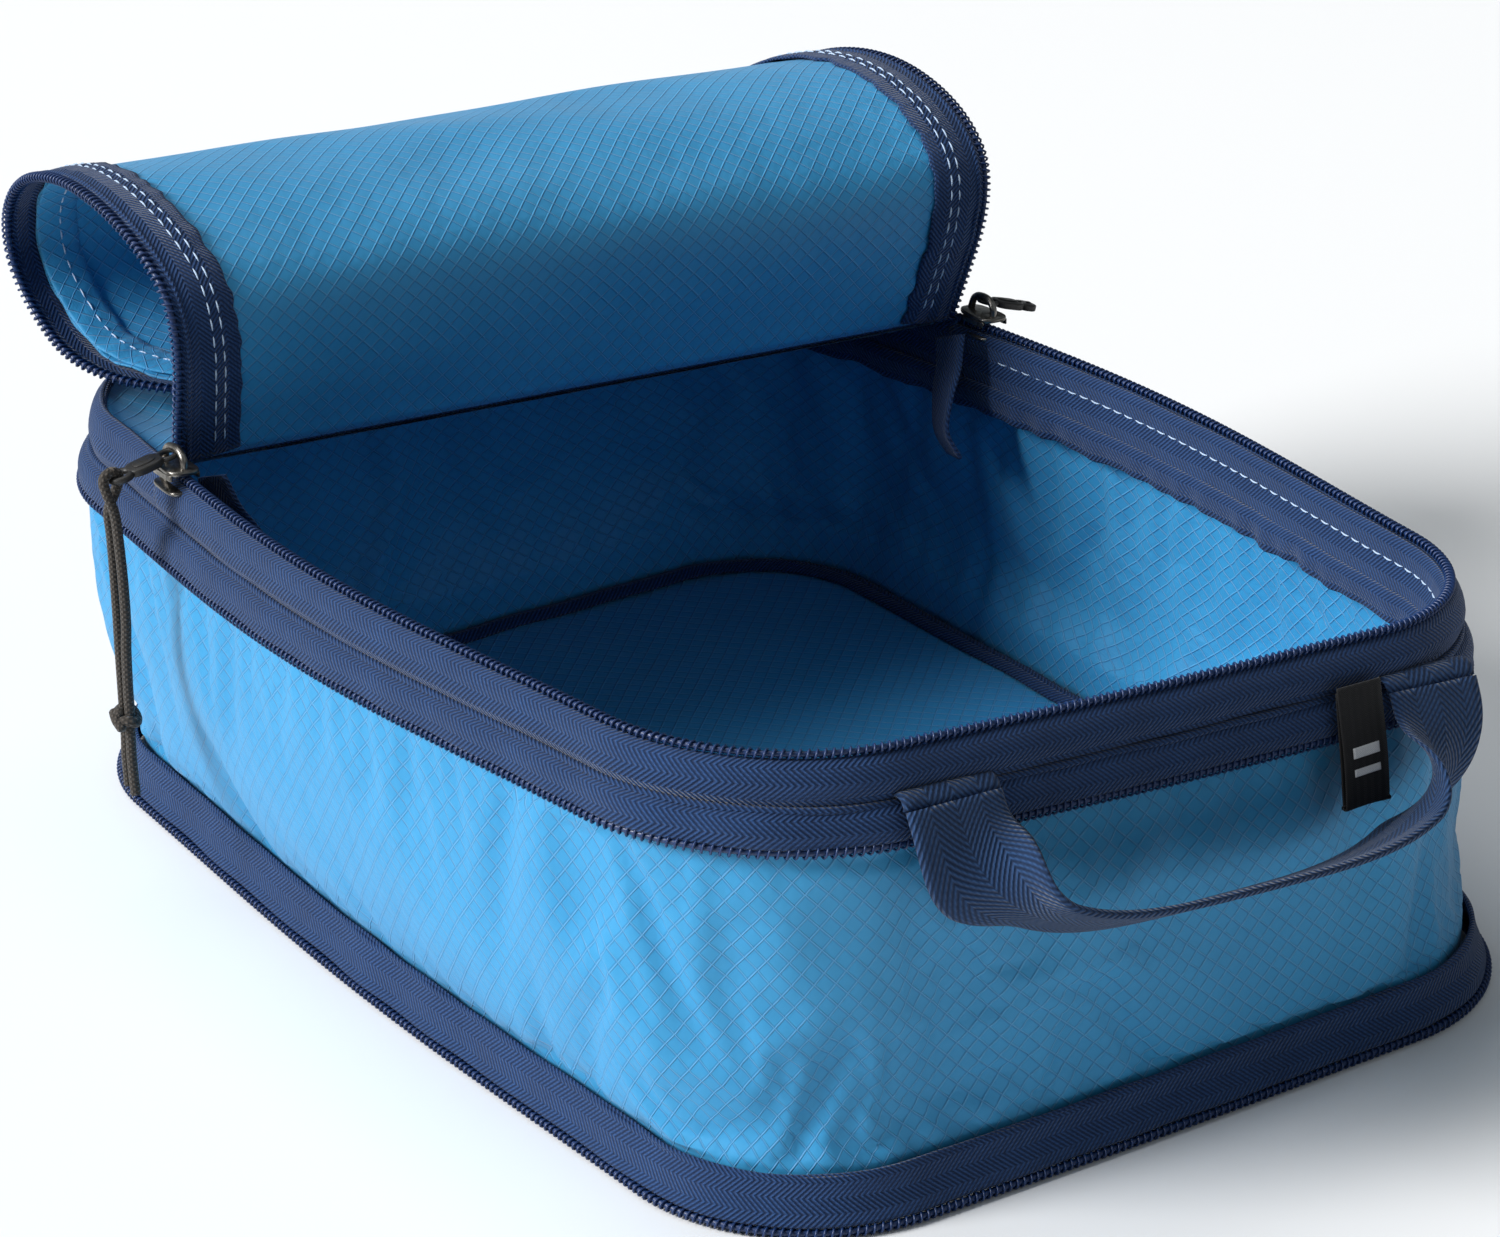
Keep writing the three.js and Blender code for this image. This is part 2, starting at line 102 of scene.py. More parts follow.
# ---------- camera ----------
def make_camera():
    """A long lens from the front left, a little above the rim, with its frame shifted off centre."""
    azimuth, elevation, roll = np.radians([-34.2, 25.94, -0.56])
    back = np.array([math.sin(azimuth) * math.cos(elevation),
                     -math.cos(azimuth) * math.cos(elevation),
                     math.sin(elevation)])
    right = np.array([math.cos(azimuth), math.sin(azimuth), 0])
    up = np.cross(back, right)
    distance, aim_right, aim_down = 1103.5, 16.61, 15.89
    target = np.array([0, 0, 50]) + right * aim_right - up * aim_down
    place = (target + back * distance) * MM
    turned_right = right * math.cos(roll) + up * math.sin(roll)
    turned_up = up * math.cos(roll) - right * math.sin(roll)
    data = bpy.data.cameras.new("camera")
    data.sensor_width = 36
    data.lens = 138.7
    data.shift_x = -0.0757
    data.shift_y = 0.0604
    data.clip_start = 0.05
    camera = bpy.data.objects.new("camera", data)
    bpy.context.scene.collection.objects.link(camera)
    columns = [turned_right, turned_up, back, place]
    camera.matrix_world = Matrix([[column[k] for column in columns] for k in range(3)] + [[0, 0, 0, 1]])
    bpy.context.scene.camera = camera


# ---------- shapes ----------
def smooth(t):
    t = np.clip(t, 0, 1)
    return t * t * (3 - 2 * t)


def unit(vectors):
    return vectors / np.linalg.norm(vectors, axis=-1, keepdims=True)


def distances(points):
    """How far along a line each of its points is."""
    return np.concatenate([[0], np.cumsum(np.linalg.norm(np.diff(points, axis=0), axis=1))])


def bow(amount, along, half):
    return amount * np.cos(np.pi / 2 * np.minimum(1, np.abs(along) / half)) ** 2


def half_width(shape, v):
    """Half the width of a rounded, bowed rectangle at a distance v along its length."""
    past = np.maximum(0, np.abs(v) - (shape["half_y"] - shape["radius"]))
    straight = shape["half_x"] - shape["radius"] + np.sqrt(np.maximum(0, shape["radius"] ** 2 - past ** 2))
    return straight + bow(shape["bow_x"], v, shape["half_y"])


class Outline:
    """A rounded rectangle with bowed sides, walked anticlockwise from the middle of its back."""

    CORNER = 120
    SIDE = 200

    def __init__(self, half_x, half_y, radius, bow_x, bow_y):
        runs = []
        for corner, (sign_x, sign_y) in enumerate([(1, 1), (-1, 1), (-1, -1), (1, -1)]):
            turn = np.pi / 2 * (corner + np.linspace(0, 1, self.CORNER))
            arc = np.stack([sign_x * (half_x - radius) + radius * np.cos(turn),
                            sign_y * (half_y - radius) + radius * np.sin(turn)], axis=1)
            end = arc[-1] * ([-1, 1] if corner % 2 == 0 else [1, -1])
            share = np.linspace(0, 1, self.SIDE + 2)[1:-1, None]
            runs += [arc, arc[-1] + (end - arc[-1]) * share]
        x, y = np.concatenate(runs).T
        points = np.stack([x + x / half_x * bow(bow_x, y, half_y),
                           y + y / half_y * bow(bow_y, x, half_x)], axis=1)
        points = np.roll(points, -(self.CORNER + self.SIDE // 2), axis=0)
        self.points = np.concatenate([points, points[:1]])
        tangent = np.roll(points, -1, axis=0) - np.roll(points, 1, axis=0)
        normals = unit(np.stack([tangent[:, 1], -tangent[:, 0]], axis=1))
        self.normals = np.concatenate([normals, normals[:1]])
        self.at = distances(self.points)
        self.length = self.at[-1]

    def between(self, places, at):
        """Points and outward normals at some places, where at says the place of each listed point."""
        values = (*self.points.T, *self.normals.T)
        x, y, nx, ny = [np.interp(places, at, value) for value in values]
        return np.stack([x, y], axis=-1), np.stack([nx, ny], axis=-1)

    def walk(self, s):
        """Points and outward normals at the lengths s."""
        return self.between(np.mod(s, self.length), self.at)

    def index(self, s):
        """Where s falls in the list of points, so that two outlines can be matched."""
        return np.interp(np.mod(s, self.length), self.at, np.arange(len(self.at)))

    def at_index(self, i):
        return self.between(i, np.arange(len(self.at)))

    def reaches(self, y):
        """The length at which the left side comes down to y. The right side mirrors it."""
        half = len(self.at) // 2
        return float(np.interp(-y, -self.points[:half, 1], self.at[:half]))


def curve(points, count):
    """A smooth line through a few points, by Catmull-Rom."""
    points = np.array(points, float)
    ends = np.concatenate([[2 * points[0] - points[1]], points, [2 * points[-1] - points[-2]]])
    t = np.linspace(0, len(points) - 1, count)
    i = np.minimum(t.astype(int), len(points) - 2)
    f = (t - i)[:, None]
    a, b, c, d = ends[i], ends[i + 1], ends[i + 2], ends[i + 3]
    square = 2 * a - 5 * b + 4 * c - d
    cubic = 3 * b - a - 3 * c + d
    return 0.5 * (2 * b + (c - a) * f + square * f ** 2 + cubic * f ** 3)


def ribbon(points, thickness, count=9):
    """The closed section of a band that follows a few [outward, up] points, with rounded edges."""
    line = curve(points, count)
    along = unit(np.gradient(line, axis=0))
    side = np.stack([-along[:, 1], along[:, 0]], axis=1) * thickness / 2
    start = line[0] - along[0] * thickness / 2
    end = line[-1] + along[-1] * thickness / 2
    return np.concatenate([[start], line + side, [end], (line - side)[::-1]])


def circle(centre, radius, sides=8):
    turn = np.linspace(0, 2 * np.pi, sides, endpoint=False)
    return np.stack([centre[0] + radius * np.cos(turn), centre[1] + radius * np.sin(turn)], axis=1)


def waves(share, seed, low, high, count, amount):
    """A sum of sine waves that closes on itself once round the bag. share runs from 0 to 1."""
    random = np.random.default_rng(seed)
    total = np.zeros_like(share)
    for _ in range(count):
        turns = random.integers(low, high)
        total = total + random.uniform(0.4, 1) * np.sin(2 * np.pi * (turns * share + random.random()))
    return amount * total / math.sqrt(count)


# ---------- meshes ----------
class Patch:
    """Collects grids of points, with UVs in metres of cloth, and makes one mesh object of them."""

    def __init__(self):
        self.points, self.faces, self.uvs, self.count = [], [], [], 0

    def grid(self, points, us, vs, loop_rows=False, loop_columns=False):
        """us and vs are the cloth's own lengths, one more than the rows or columns where they close.

        They are one for each row and one for each column, or both are given for every point.
        """
        rows, columns = points.shape[:2]
        i = np.arange(rows if loop_rows else rows - 1)[:, None]
        j = np.arange(columns if loop_columns else columns - 1)[None]
        quads = [(i, j), (i, j + 1), (i + 1, j + 1), (i + 1, j)]
        corners = [self.count + (a % rows) * columns + (b % columns) for a, b in quads]
        if np.ndim(us) == 1:
            us, vs = np.broadcast_arrays(np.asarray(us)[:, None], np.asarray(vs)[None])
        lengths = [np.stack([us[a, b], vs[a, b]], axis=-1) * MM for a, b in quads]
        self.points.append(points.reshape(-1, 3))
        self.faces.append(np.stack(corners, axis=-1).reshape(-1, 4))
        self.uvs.append(np.stack(lengths, axis=2).reshape(-1, 4, 2))
        self.count += rows * columns
        return self

    def close_ends(self, points):
        """Caps both open ends of the grid that was added last, whose columns close on themselves."""
        rows, columns = points.shape[:2]
        start = self.count - rows * columns
        j = np.arange(columns // 2 - 1)
        for row in (0, rows - 1):
            ring = start + row * columns + np.arange(columns)
            caps = np.stack([ring[j], ring[j + 1], ring[columns - 2 - j], ring[columns - 1 - j]], axis=1)
            self.faces.append(caps if row else caps[:, ::-1])
            self.uvs.append(np.zeros((len(caps), 4, 2)))
        return self

    def arrays(self):
        return np.concatenate(self.points), np.concatenate(self.faces), np.concatenate(self.uvs)

    def make(self, name, material, place):
        points, faces, uvs = self.arrays()
        return make_object(name, place(points), faces, uvs, material)


def make_object(name, points, faces, uvs, material):
    a, b, c, d = [points[faces[:, k]] for k in range(4)]
    volume = (np.einsum("ij,ij->i", a, np.cross(b, c)) + np.einsum("ij,ij->i", a, np.cross(c, d))).sum()
    if volume < 0:
        faces, uvs = faces[:, ::-1], uvs[:, ::-1]
    used, faces = np.unique(faces, return_inverse=True)
    faces = faces.reshape(-1, 4)
    mesh = bpy.data.meshes.new(name)
    mesh.from_pydata(points[used].tolist(), [], faces.tolist())
    layer = mesh.uv_layers.new(name="cloth")
    layer.data.foreach_set("uv", uvs.astype(np.float32).ravel())
    mesh.polygons.foreach_set("use_smooth", [True] * len(mesh.polygons))
    mesh.materials.append(material)
    mesh.validate()
    made = bpy.data.objects.new(name, mesh)
    bpy.context.scene.collection.objects.link(made)
    return made


def on_top(points):
    """From the rim's own frame, in millimetres, to the row frame, in metres."""
    return (RIM_CENTRE + points @ TOP_AXES) * MM


def on_base(points):
    return points * MM


def swept(outline, s, profile):
    """Points of a profile carried along an outline. The profile may be one, or one for each station."""
    p, n = outline.walk(s)
    profile = np.broadcast_to(profile, (len(s),) + np.shape(profile)[-2:])
    flat = p[:, None] + n[:, None] * profile[..., :1]
    return np.concatenate([flat, profile[..., 1:]], axis=2)


def lengths_of(profile):
    """The distances round a closed profile, with its first point again at the end."""
    return distances(np.concatenate([profile, profile[:1]]))


def stations(start, end, step):
    return np.linspace(start, end, max(2, round((end - start) / step) + 1))


def band(patch, outline, profile, start=None, end=None, step=2.0, wave=None):
    """A band of one section along a stretch of an outline, or all round it."""
    loop = start is None
    s = stations(0, outline.length, step)[:-1] if loop else stations(start, end, step)
    carried = np.broadcast_to(profile, (len(s),) + profile.shape).copy()
    if wave is not None:
        carried += wave(s, profile)
    points = swept(outline, s, carried)
    us = np.append(s, outline.length) if loop else s
    patch.grid(points, us, lengths_of(profile), loop_rows=loop, loop_columns=True)
    if not loop:
        patch.close_ends(points)
    return patch


def tube(patch, points, radius, side=None, sides=6, round_ends=False):
    """A tube round a line. side gives the direction of its first corner, or is carried along the line."""
    tangent = unit(np.gradient(points, axis=0))
    if side is None:
        side = np.empty_like(points)
        last = np.cross(tangent[0], [0.31, 0.27, 0.91])
        for i, t in enumerate(tangent):
            last = last - t * (last @ t)
            last = last / np.linalg.norm(last)
            side[i] = last
    side = unit(side - tangent * np.einsum("ij,ij->i", side, tangent)[:, None])
    other = np.cross(tangent, side)
    turn = np.linspace(0, 2 * np.pi, sides, endpoint=False)
    radii = np.full(len(points), radius, float)
    if round_ends:
        ends = np.array([0.45, 0.8])
        radii[:2], radii[-2:] = radius * ends, radius * ends[::-1]
    ring = side[:, None] * np.cos(turn)[None, :, None] + other[:, None] * np.sin(turn)[None, :, None]
    grid = points[:, None] + ring * radii[:, None, None]
    around = np.linspace(0, 2 * np.pi * radius, sides + 1)
    patch.grid(grid, distances(points), around, loop_columns=True)
    return patch.close_ends(grid)


def coil(patch, outline, centre, half_out, half_up, start=None, end=None):
    """A zip's coil: one wire wound round a core, one turn for each tooth."""
    start, end = (0, outline.length) if start is None else (start, end)
    turns = round((end - start) / COIL_PITCH)
    angle = np.linspace(0, 2 * np.pi * turns, turns * 10 + 1)
    s = start + (end - start) * angle / angle[-1]
    p, n = outline.walk(s)
    radial = np.stack([n[:, 0] * np.cos(angle), n[:, 1] * np.cos(angle), np.sin(angle)], axis=1)
    line = np.column_stack([p + n * (centre[0] + half_out * np.cos(angle))[:, None],
                            centre[1] + half_up * np.sin(angle)])
    tube(patch, line, WIRE, side=radial, sides=5)
    core = circle(centre, 0.72 * min(half_out, half_up), 6)
    return band(patch, outline, core, start, end, step=4.0)


def stitches(patch, outline, out, up, start, end, drift, seed):
    """A row of separate stitches, each a short thread that dips into the cloth at both ends."""
    random = np.random.default_rng(seed)
    t = np.linspace(0, 1, 6)
    for s in np.arange(start + STITCH_GAP, end - STITCH, STITCH + STITCH_GAP):
        s = s + random.uniform(-0.1, 0.1)
        aside = out + drift * math.sin(s / 23) + random.uniform(-0.06, 0.06)
        p, n = outline.walk(s + STITCH * t)
        rise = STITCH_RADIUS * 1.1 * np.sin(np.pi * t) - STITCH_RADIUS * 0.6
        line = np.column_stack([p + n * aside, up + np.sign(up) * rise])
        tube(patch, line, STITCH_RADIUS, sides=5, round_ends=True)
    return patch


# ---------- materials ----------
class Graph:
    """A material's nodes. A value is a number, or another node's output."""

    def __init__(self, name):
        self.material = bpy.data.materials.new(name)
        self.material.use_nodes = True
        self.tree = self.material.node_tree
        self.shader = self.tree.nodes["Principled BSDF"]
        self.uv = self.node("TexCoord", "UV", {})
        self.u = self.node("SeparateXYZ", "X", {0: self.uv})
        self.v = self.u.node.outputs["Y"]

    def put(self, socket, value):
        if isinstance(value, bpy.types.NodeSocket):
            self.tree.links.new(value, socket)
        else:
            socket.default_value = value

    def node(self, kind, output, inputs, **settings):
        """A new node with some settings and inputs. Gives back one of its outputs."""
        made = self.tree.nodes.new(f"ShaderNode{kind}")
        for name, value in settings.items():
            setattr(made, name, value)
        for key, value in inputs.items():
            self.put(made.inputs[key], value)
        return made.outputs[output]

    def math(self, operation, a, b=0.0):
        return self.node("Math", 0, {0: a, 1: b}, operation=operation)

    def plus(self, a, b):
        return self.math("ADD", a, b)

    def times(self, a, b):
        return self.math("MULTIPLY", a, b)

    def noise(self, scale, detail=3.0, stretch=(1, 1, 1), roughness=0.5):
        place = self.node("Mapping", 0, {"Vector": self.uv, "Scale": stretch})
        inputs = {"Vector": place, "Scale": scale, "Detail": detail, "Roughness": roughness}
        return self.node("TexNoise", "Fac", inputs)

    def near_line(self, value, width):
        """1 on the whole numbers of value, falling to 0 at that distance from them."""
        away = self.math("PINGPONG", value, 0.5)
        inputs = {"Value": away, "From Min": 0.0, "From Max": width, "To Min": 1.0, "To Max": 0.0}
        return self.node("MapRange", 0, inputs, interpolation_type="SMOOTHSTEP")

    def mix(self, share, a, b):
        return self.node("Mix", 2, {0: share, 6: a, 7: b}, data_type="RGBA")

    def range(self, value, low, high):
        return self.node("MapRange", 0, {"Value": value, "To Min": low, "To Max": high})

    def bump(self, height, distance, strength, after=None):
        inputs = {"Strength": strength, "Distance": distance, "Height": height}
        if after is not None:
            inputs["Normal"] = after
        return self.node("Bump", 0, inputs)

    def finish(self, colour, roughness, normal=None, metallic=0.0, specular=0.5, sheen=0.0):
        values = {"Base Color": colour, "Roughness": roughness, "Metallic": metallic,
                  "Specular IOR Level": specular, "Sheen Weight": sheen, "Sheen Roughness": 0.4}
        if normal is not None:
            values["Normal"] = normal
        for key, value in values.items():
            self.put(self.shader.inputs[key], value)
        return self.material


def rgb(*display):
    """A colour from display values of 0 to 255, as the linear light that shaders take."""
    def linear(value):
        value = value / 255
        return value / 12.92 if value <= 0.04045 else ((value + 0.055) / 1.055) ** 2.4
    return (*[linear(value) for value in display], 1.0)


def ripstop(name):
    """Thin nylon with a diamond grid of thicker threads, creased in use, with a painted highlight on each
    thread and painted shade along one side of it.
    """
    g = Graph(name)
    cell = 0.0027 * math.sqrt(2)
    thread_pitch = 0.00042
    wander = g.times(g.noise(45, 1.0), 0.0012)
    diagonals = [g.math("DIVIDE", g.math(way, g.math(way, g.u, g.v), wander), cell)
                 for way in ("ADD", "SUBTRACT")]
    lines = g.math("MAXIMUM", *[g.near_line(diagonal, 0.085) for diagonal in diagonals])
    shade = g.math("MAXIMUM", *[g.near_line(g.plus(diagonal, 0.07), 0.10) for diagonal in diagonals])
    tone = g.noise(28, 4.0)
    cells = g.mix(tone, rgb(40, 136, 188), rgb(58, 150, 200))
    # painted shade: a dark line along one side of each grid thread
    colour = g.mix(g.times(shade, 0.5), cells, rgb(8, 86, 142))
    # painted highlight: the grid threads themselves are lightened
    colour = g.mix(g.times(lines, 0.22), colour, rgb(150, 206, 245))
    warp, weft = [g.math("SINE", g.times(way, 2 * math.pi / thread_pitch)) for way in (g.u, g.v)]
    weave = g.times(g.times(warp, weft), 0.12)
    creases = g.bump(g.noise(55, 5.0, (1, 1, 1), 0.55), 0.0022, 0.55)
    fine = g.bump(g.plus(lines, weave), 0.00016, 0.8, creases)
    roughness = g.range(g.plus(tone, g.times(lines, 0.2)), 0.42, 0.62)
    return g.finish(colour, roughness, fine, specular=0.35, sheen=0.12)


def chevrons(name, dark, light, column, pitch, depth, fuzz=0.35):
    """Herringbone weave: slanting ribs whose slant turns over from one column to the next, lighter on the
    raised ribs, partly as the weave's own pattern and partly as a painted highlight.
    """
    g = Graph(name)
    slant = g.math("PINGPONG", g.v, column)
    rib = g.math("DIVIDE", g.plus(g.u, g.times(slant, 1.1)), pitch)
    ribs = g.near_line(rib, 0.5)
    across = g.near_line(g.math("DIVIDE", g.v, pitch * 0.62), 0.5)
    knots = g.times(ribs, g.plus(0.65, g.times(across, 0.35)))
    worn = g.noise(120, 4.0)
    fibres = g.noise(2600, 2.0, (1, 0.35, 1))
    # the ribs and fibres take the light colour: partly the weave's own pattern, partly a painted highlight on
    # the raised yarns
    share = g.plus(g.times(knots, 0.75), g.times(fibres, fuzz))
    share = g.times(share, g.range(worn, 0.65, 1.15))
    soft = g.bump(g.noise(90, 3.0), 0.0008, 0.35)
    relief = g.bump(g.plus(knots, g.times(fibres, 0.25)), depth, 0.9, soft)
    return g.finish(g.mix(share, dark, light), g.range(worn, 0.72, 0.88), relief, specular=0.25, sheen=0.15)


def nylon(name, colour_a, colour_b):
    """Moulded nylon: even colour with a faint mottle and fine scratches."""
    g = Graph(name)
    mottle = g.noise(900, 4.0)
    scratches = g.noise(1500, 2.0, (0.2, 1, 1))
    colour = g.mix(mottle, colour_a, colour_b)
    return g.finish(colour, g.range(scratches, 0.28, 0.52),
                    g.bump(scratches, 0.00004, 0.6), specular=0.5)


def thread(name):
    """Twisted sewing thread."""
    g = Graph(name)
    twist = g.math("SINE", g.times(g.plus(g.u, g.times(g.v, 0.8)), 9000))
    colour = g.mix(g.noise(700, 3.0), rgb(150, 180, 214), rgb(208, 224, 242))
    return g.finish(colour, g.range(g.noise(400), 0.55, 0.75), g.bump(twist, 0.00005, 0.8), sheen=0.2)


def painted_metal(name):
    """Black plated zinc, rubbed bright in spots."""
    g = Graph(name)
    rubbed = g.math("POWER", g.noise(420, 5.0, (1, 1, 1), 0.65), 3.2)
    colour = g.mix(g.times(rubbed, 2.4), rgb(48, 45, 42), rgb(205, 200, 192))
    return g.finish(colour, g.range(g.noise(900, 3.0), 0.22, 0.42),
                    g.bump(g.noise(1800, 3.0), 0.00003, 0.5), metallic=0.9)


def braid(name):
    """Braided cord: strands that cross both ways round it, with a painted highlight on the raised strands."""
    g = Graph(name)
    slope, pitch = 0.9, 0.00105
    ways = [g.math("DIVIDE", g.math(way, g.u, g.times(g.v, slope)), pitch) for way in ("ADD", "SUBTRACT")]
    strands = g.times(*[g.near_line(way, 0.5) for way in ways])
    fleck = g.noise(2400, 3.0)
    # painted highlight: the raised strands are mixed toward the light colour; the flecks are random tone
    colour = g.mix(g.times(g.plus(strands, fleck), 0.5), rgb(14, 13, 12), rgb(92, 84, 76))
    relief = g.bump(strands, 0.00022, 0.9)
    return g.finish(colour, g.range(fleck, 0.6, 0.85), relief, specular=0.3, sheen=0.2)


def rubber(name):
    """Soft black moulding with a fine grain."""
    g = Graph(name)
    grain = g.noise(3500, 4.0)
    colour = g.mix(g.noise(260, 3.0), rgb(20, 19, 18), rgb(44, 42, 40))
    return g.finish(colour, g.range(grain, 0.38, 0.58), g.bump(grain, 0.00006, 0.7), specular=0.5)


def floor_paint(name):
    g = Graph(name)
    colour = g.mix(g.noise(3, 2.0), (0.84, 0.84, 0.84, 1), (0.88, 0.88, 0.88, 1))
    return g.finish(colour, 0.9, specular=0.1)


def make_materials():
    return dict(
        fabric=ripstop("blue_ripstop"),
        tape=chevrons("navy_tape", rgb(1, 13, 42), rgb(44, 80, 132), 0.0028, 0.0011, 0.0003),
        webbing=chevrons("navy_webbing", rgb(1, 14, 40), rgb(46, 80, 126), 0.0052, 0.0013, 0.00034),
        coil=nylon("navy_coil", rgb(12, 36, 80), rgb(30, 58, 104)),
        thread=thread("white_thread"),
        metal=painted_metal("black_metal"),
        pull=rubber("black_rubber"),
        cord=braid("black_braid"),
        label=chevrons("black_label", rgb(8, 8, 9), rgb(40, 40, 42), 0.0009, 0.0004, 0.00006, 0.2),
        mark=chevrons("white_mark", rgb(170, 172, 175), rgb(235, 236, 238), 0.0009, 0.0004, 0.00006, 0.2),
    )


look = make_materials()
rim = Outline(**RIM_SHAPE)
base = Outline(**BASE_SHAPE)
hinge_s = rim.reaches(HINGE_V)
front = (hinge_s, rim.length - hinge_s)
rear = (-hinge_s, hinge_s)


def on_pull(label, side):
    """Carries points from a pull's own frame, x away from its slider, to the row frame."""
    hinge = TOP_AXES @ (np.array(joints[f"pull_{label}_swing"]["pos_m"]) / MM - RIM_CENTRE)
    cos, sin = math.cos(PULL_TILT), math.sin(PULL_TILT)
    axes = np.array([[side * cos, 0, -sin], [0, side, 0], [side * sin, 0, cos]])
    inwards, below = PULL_SEAT
    return lambda points: on_top(points @ axes + hinge - [side * inwards, 0, below])


def add(patch, name, finish, body, *nodes, place=None, slot=None):
    """Makes a piece with its finish, rides it on one body, and hides the CAD nodes that it stands for."""
    made = patch.make(name, look[finish], place or (on_base if body == "base" else on_top))
    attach(made, body)
    if nodes:
        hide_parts(*nodes)
    return made


# ---------- the cord on the left pull ----------
def cord_eye():
    """The hole in the left pull that the cord is looped through, from the cord's own CAD solids."""
    low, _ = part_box("cord_upper_a")
    _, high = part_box("cord_upper_b")
    return np.array([(low.x + high.x) / 2, (low.y + high.y) / 2, high.z]) / MM


def make_cords():
    """Two strands side by side, knotted together, with their ends left as a tail."""
    eye = cord_eye()
    bar = on_pull("left", -1)(np.array([[PULL_REACH + 2.1, 0, 0]]))[0] / MM
    apart = CORD_DIAMETER / 2 + 0.2
    strands = []
    for label, side in (("a", -1), ("b", 1)):
        y = eye[1] + side * apart
        route = [(bar[0], bar[1], bar[2] + 1.75),
                 (bar[0] + side * 1.25, bar[1] + side * 0.15, bar[2] + 1.2),
                 (bar[0] + side * 1.8, bar[1] + side * 0.3, bar[2]),
                 (bar[0] * 0.5 + eye[0] * 0.5 + side * 1.3, eye[1] + side * 0.8, bar[2] - 2.4),
                 (eye[0] - 0.2, y, eye[2] - 4),
                 (eye[0] + 0.1, y + side * 0.3, eye[2] - 10),
                 (eye[0] + 0.3, y + side * 0.5, eye[2] - 18),
                 (eye[0] + 0.3, y + side * 0.5, eye[2] - 26),
                 (eye[0] + 0.1, y + side * 0.2, KNEE_Z),
                 (eye[0], y, KNOT_Z + 7),
                 (eye[0], y, KNOT_Z + 3),
                 (eye[0], y - side * 0.2, KNOT_Z),
                 (eye[0] - 0.1, y - side * 0.2, KNOT_Z - 4),
                 (eye[0] - 0.2, y - side * 0.1, KNOT_Z - 8),
                 (eye[0] - 0.1, y, KNOT_Z - 12 + side * 0.4),
                 (eye[0], y + side * 0.1, CORD_END_Z + side * 0.5)]
        line = curve(route, 90)
        patch = tube(Patch(), line, CORD_DIAMETER / 2, sides=12)
        strand = patch.make(f"cord_strand_{label}", look["cord"], on_base)
        length = distances(line)[-1] * MM
        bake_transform(strand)
        strands.append((strand, line, length))
    knot = make_knot(eye)
    for (strand, line, length), nodes in zip(strands, (("cord_upper_a", "cord_lower_a", "cord_tail"),
                                                       ("cord_upper_b", "cord_lower_b"))):
        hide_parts(*nodes)


def make_knot(eye):
    """An overhand knot: one length of cord that goes twice round the strands and through itself."""
    turn = np.linspace(-0.35, 2 * np.pi * 1.55, 80)
    rise = np.linspace(-1.5, 1.7, 80)
    around = np.column_stack([eye[0] + 2.0 * np.cos(turn) * 0.8, eye[1] + 2.35 * np.sin(turn),
                              KNOT_Z + rise + 0.5 * np.sin(2 * turn)])
    patch = tube(Patch(), around, CORD_DIAMETER / 2 * 1.05, sides=10, round_ends=True)
    across = curve([(eye[0] - 2.0, eye[1] - 2.2, KNOT_Z - 1.2), (eye[0] - 2.3, eye[1], KNOT_Z + 0.3),
                    (eye[0] - 1.6, eye[1] + 2.3, KNOT_Z + 1.3)], 20)
    tube(patch, across, CORD_DIAMETER / 2 * 1.05, sides=10, round_ends=True)
    return add(patch, "cord_knot_wrap", "cord", "cord_lower", "cord_knot", place=on_base)


make_camera()
make_cords()


# ---------- the rim: two tapes, their coils, and the bindings inside ----------
def uneven(seed, amount, outline):
    """A slight wander of a band's section, outwards and upwards, so that no edge is ruled straight."""
    def wave(s, profile):
        share = s / outline.length
        out = waves(share, seed, 9, 40, 7, amount)
        up = waves(share, seed + 1, 9, 40, 7, amount * 0.6)
        return np.stack([out, up], axis=-1)[:, None, :]
    return wave


def add_tape(name, outline, section, seed, amount, *nodes, stretch=(None, None)):
    """A band of tape on the half of the bag that the outline belongs to."""
    patch = band(Patch(), outline, section, *stretch, wave=uneven(seed, amount, outline))
    add(patch, name, "tape", "base" if outline is base else "top", *nodes)


def make_rim():
    edge = -TAPE_DROP - 0.4
    back = (rear[0] - 1.5, rear[1] + 1.5)
    section = ribbon([(-0.5, -1.15), (0.6, -1.8), (1.7, -3.6), (2.0, -6.0), (1.0, edge)], 1.0, 13)
    add_tape("rim_tape_outer", rim, section, 3, 0.16, "main_zip_tape", stretch=front)
    section = ribbon([(-1.3, -1.35), (-1.9, -2.4), (-2.2, -5.0), (-2.6, -9.0), (-3.2, -12.6)], 0.7, 11)
    add_tape("rim_tape_inner", rim, section, 5, 0.22, stretch=front)
    add(coil(Patch(), rim, (-0.6, 0.0), 0.85, 0.75, *front), "rim_coil", "coil", "top", "main_zip_coil")
    row = stitches(Patch(), rim, -2.75, -5.6, front[0] + 12, front[1] - 12, drift=0.12, seed=4)
    add(row, "rim_stitches_inner", "thread", "top")
    section = ribbon([(-0.4, 0.4), (0.8, -1.0), (1.6, -3.4), (1.8, -6.0), (1.0, edge)], 1.0, 13)
    add_tape("rear_band", rim, section, 8, 0.35, "rear_rim_band", stretch=back)
    section = ribbon([(-0.9, 0.2), (-1.6, -3.0), (-2.0, -7.0), (-2.6, -12.0)], 0.7, 9)
    add_tape("rear_band_inner", rim, section, 9, 0.3, stretch=back)
    add_tape("band_piping", rim, circle((1.9, -TAPE_DROP - 0.9), 0.75, 10), 11, 0.12, "rim_piping")
    section = ribbon([(1.5, -TAPE_DROP - 1.2), (3.0, -10.6), (3.9, -12.6), (3.9, -BAND_DROP)], 0.9, 11)
    add_tape("compression_band", rim, section, 13, 0.18, "compression_zip_tape")
    wire = coil(Patch(), rim, (3.75, -16.1), 0.8, 1.0)
    add(wire, "compression_coil", "coil", "top", "compression_zip_coil")
    make_inner_binding()


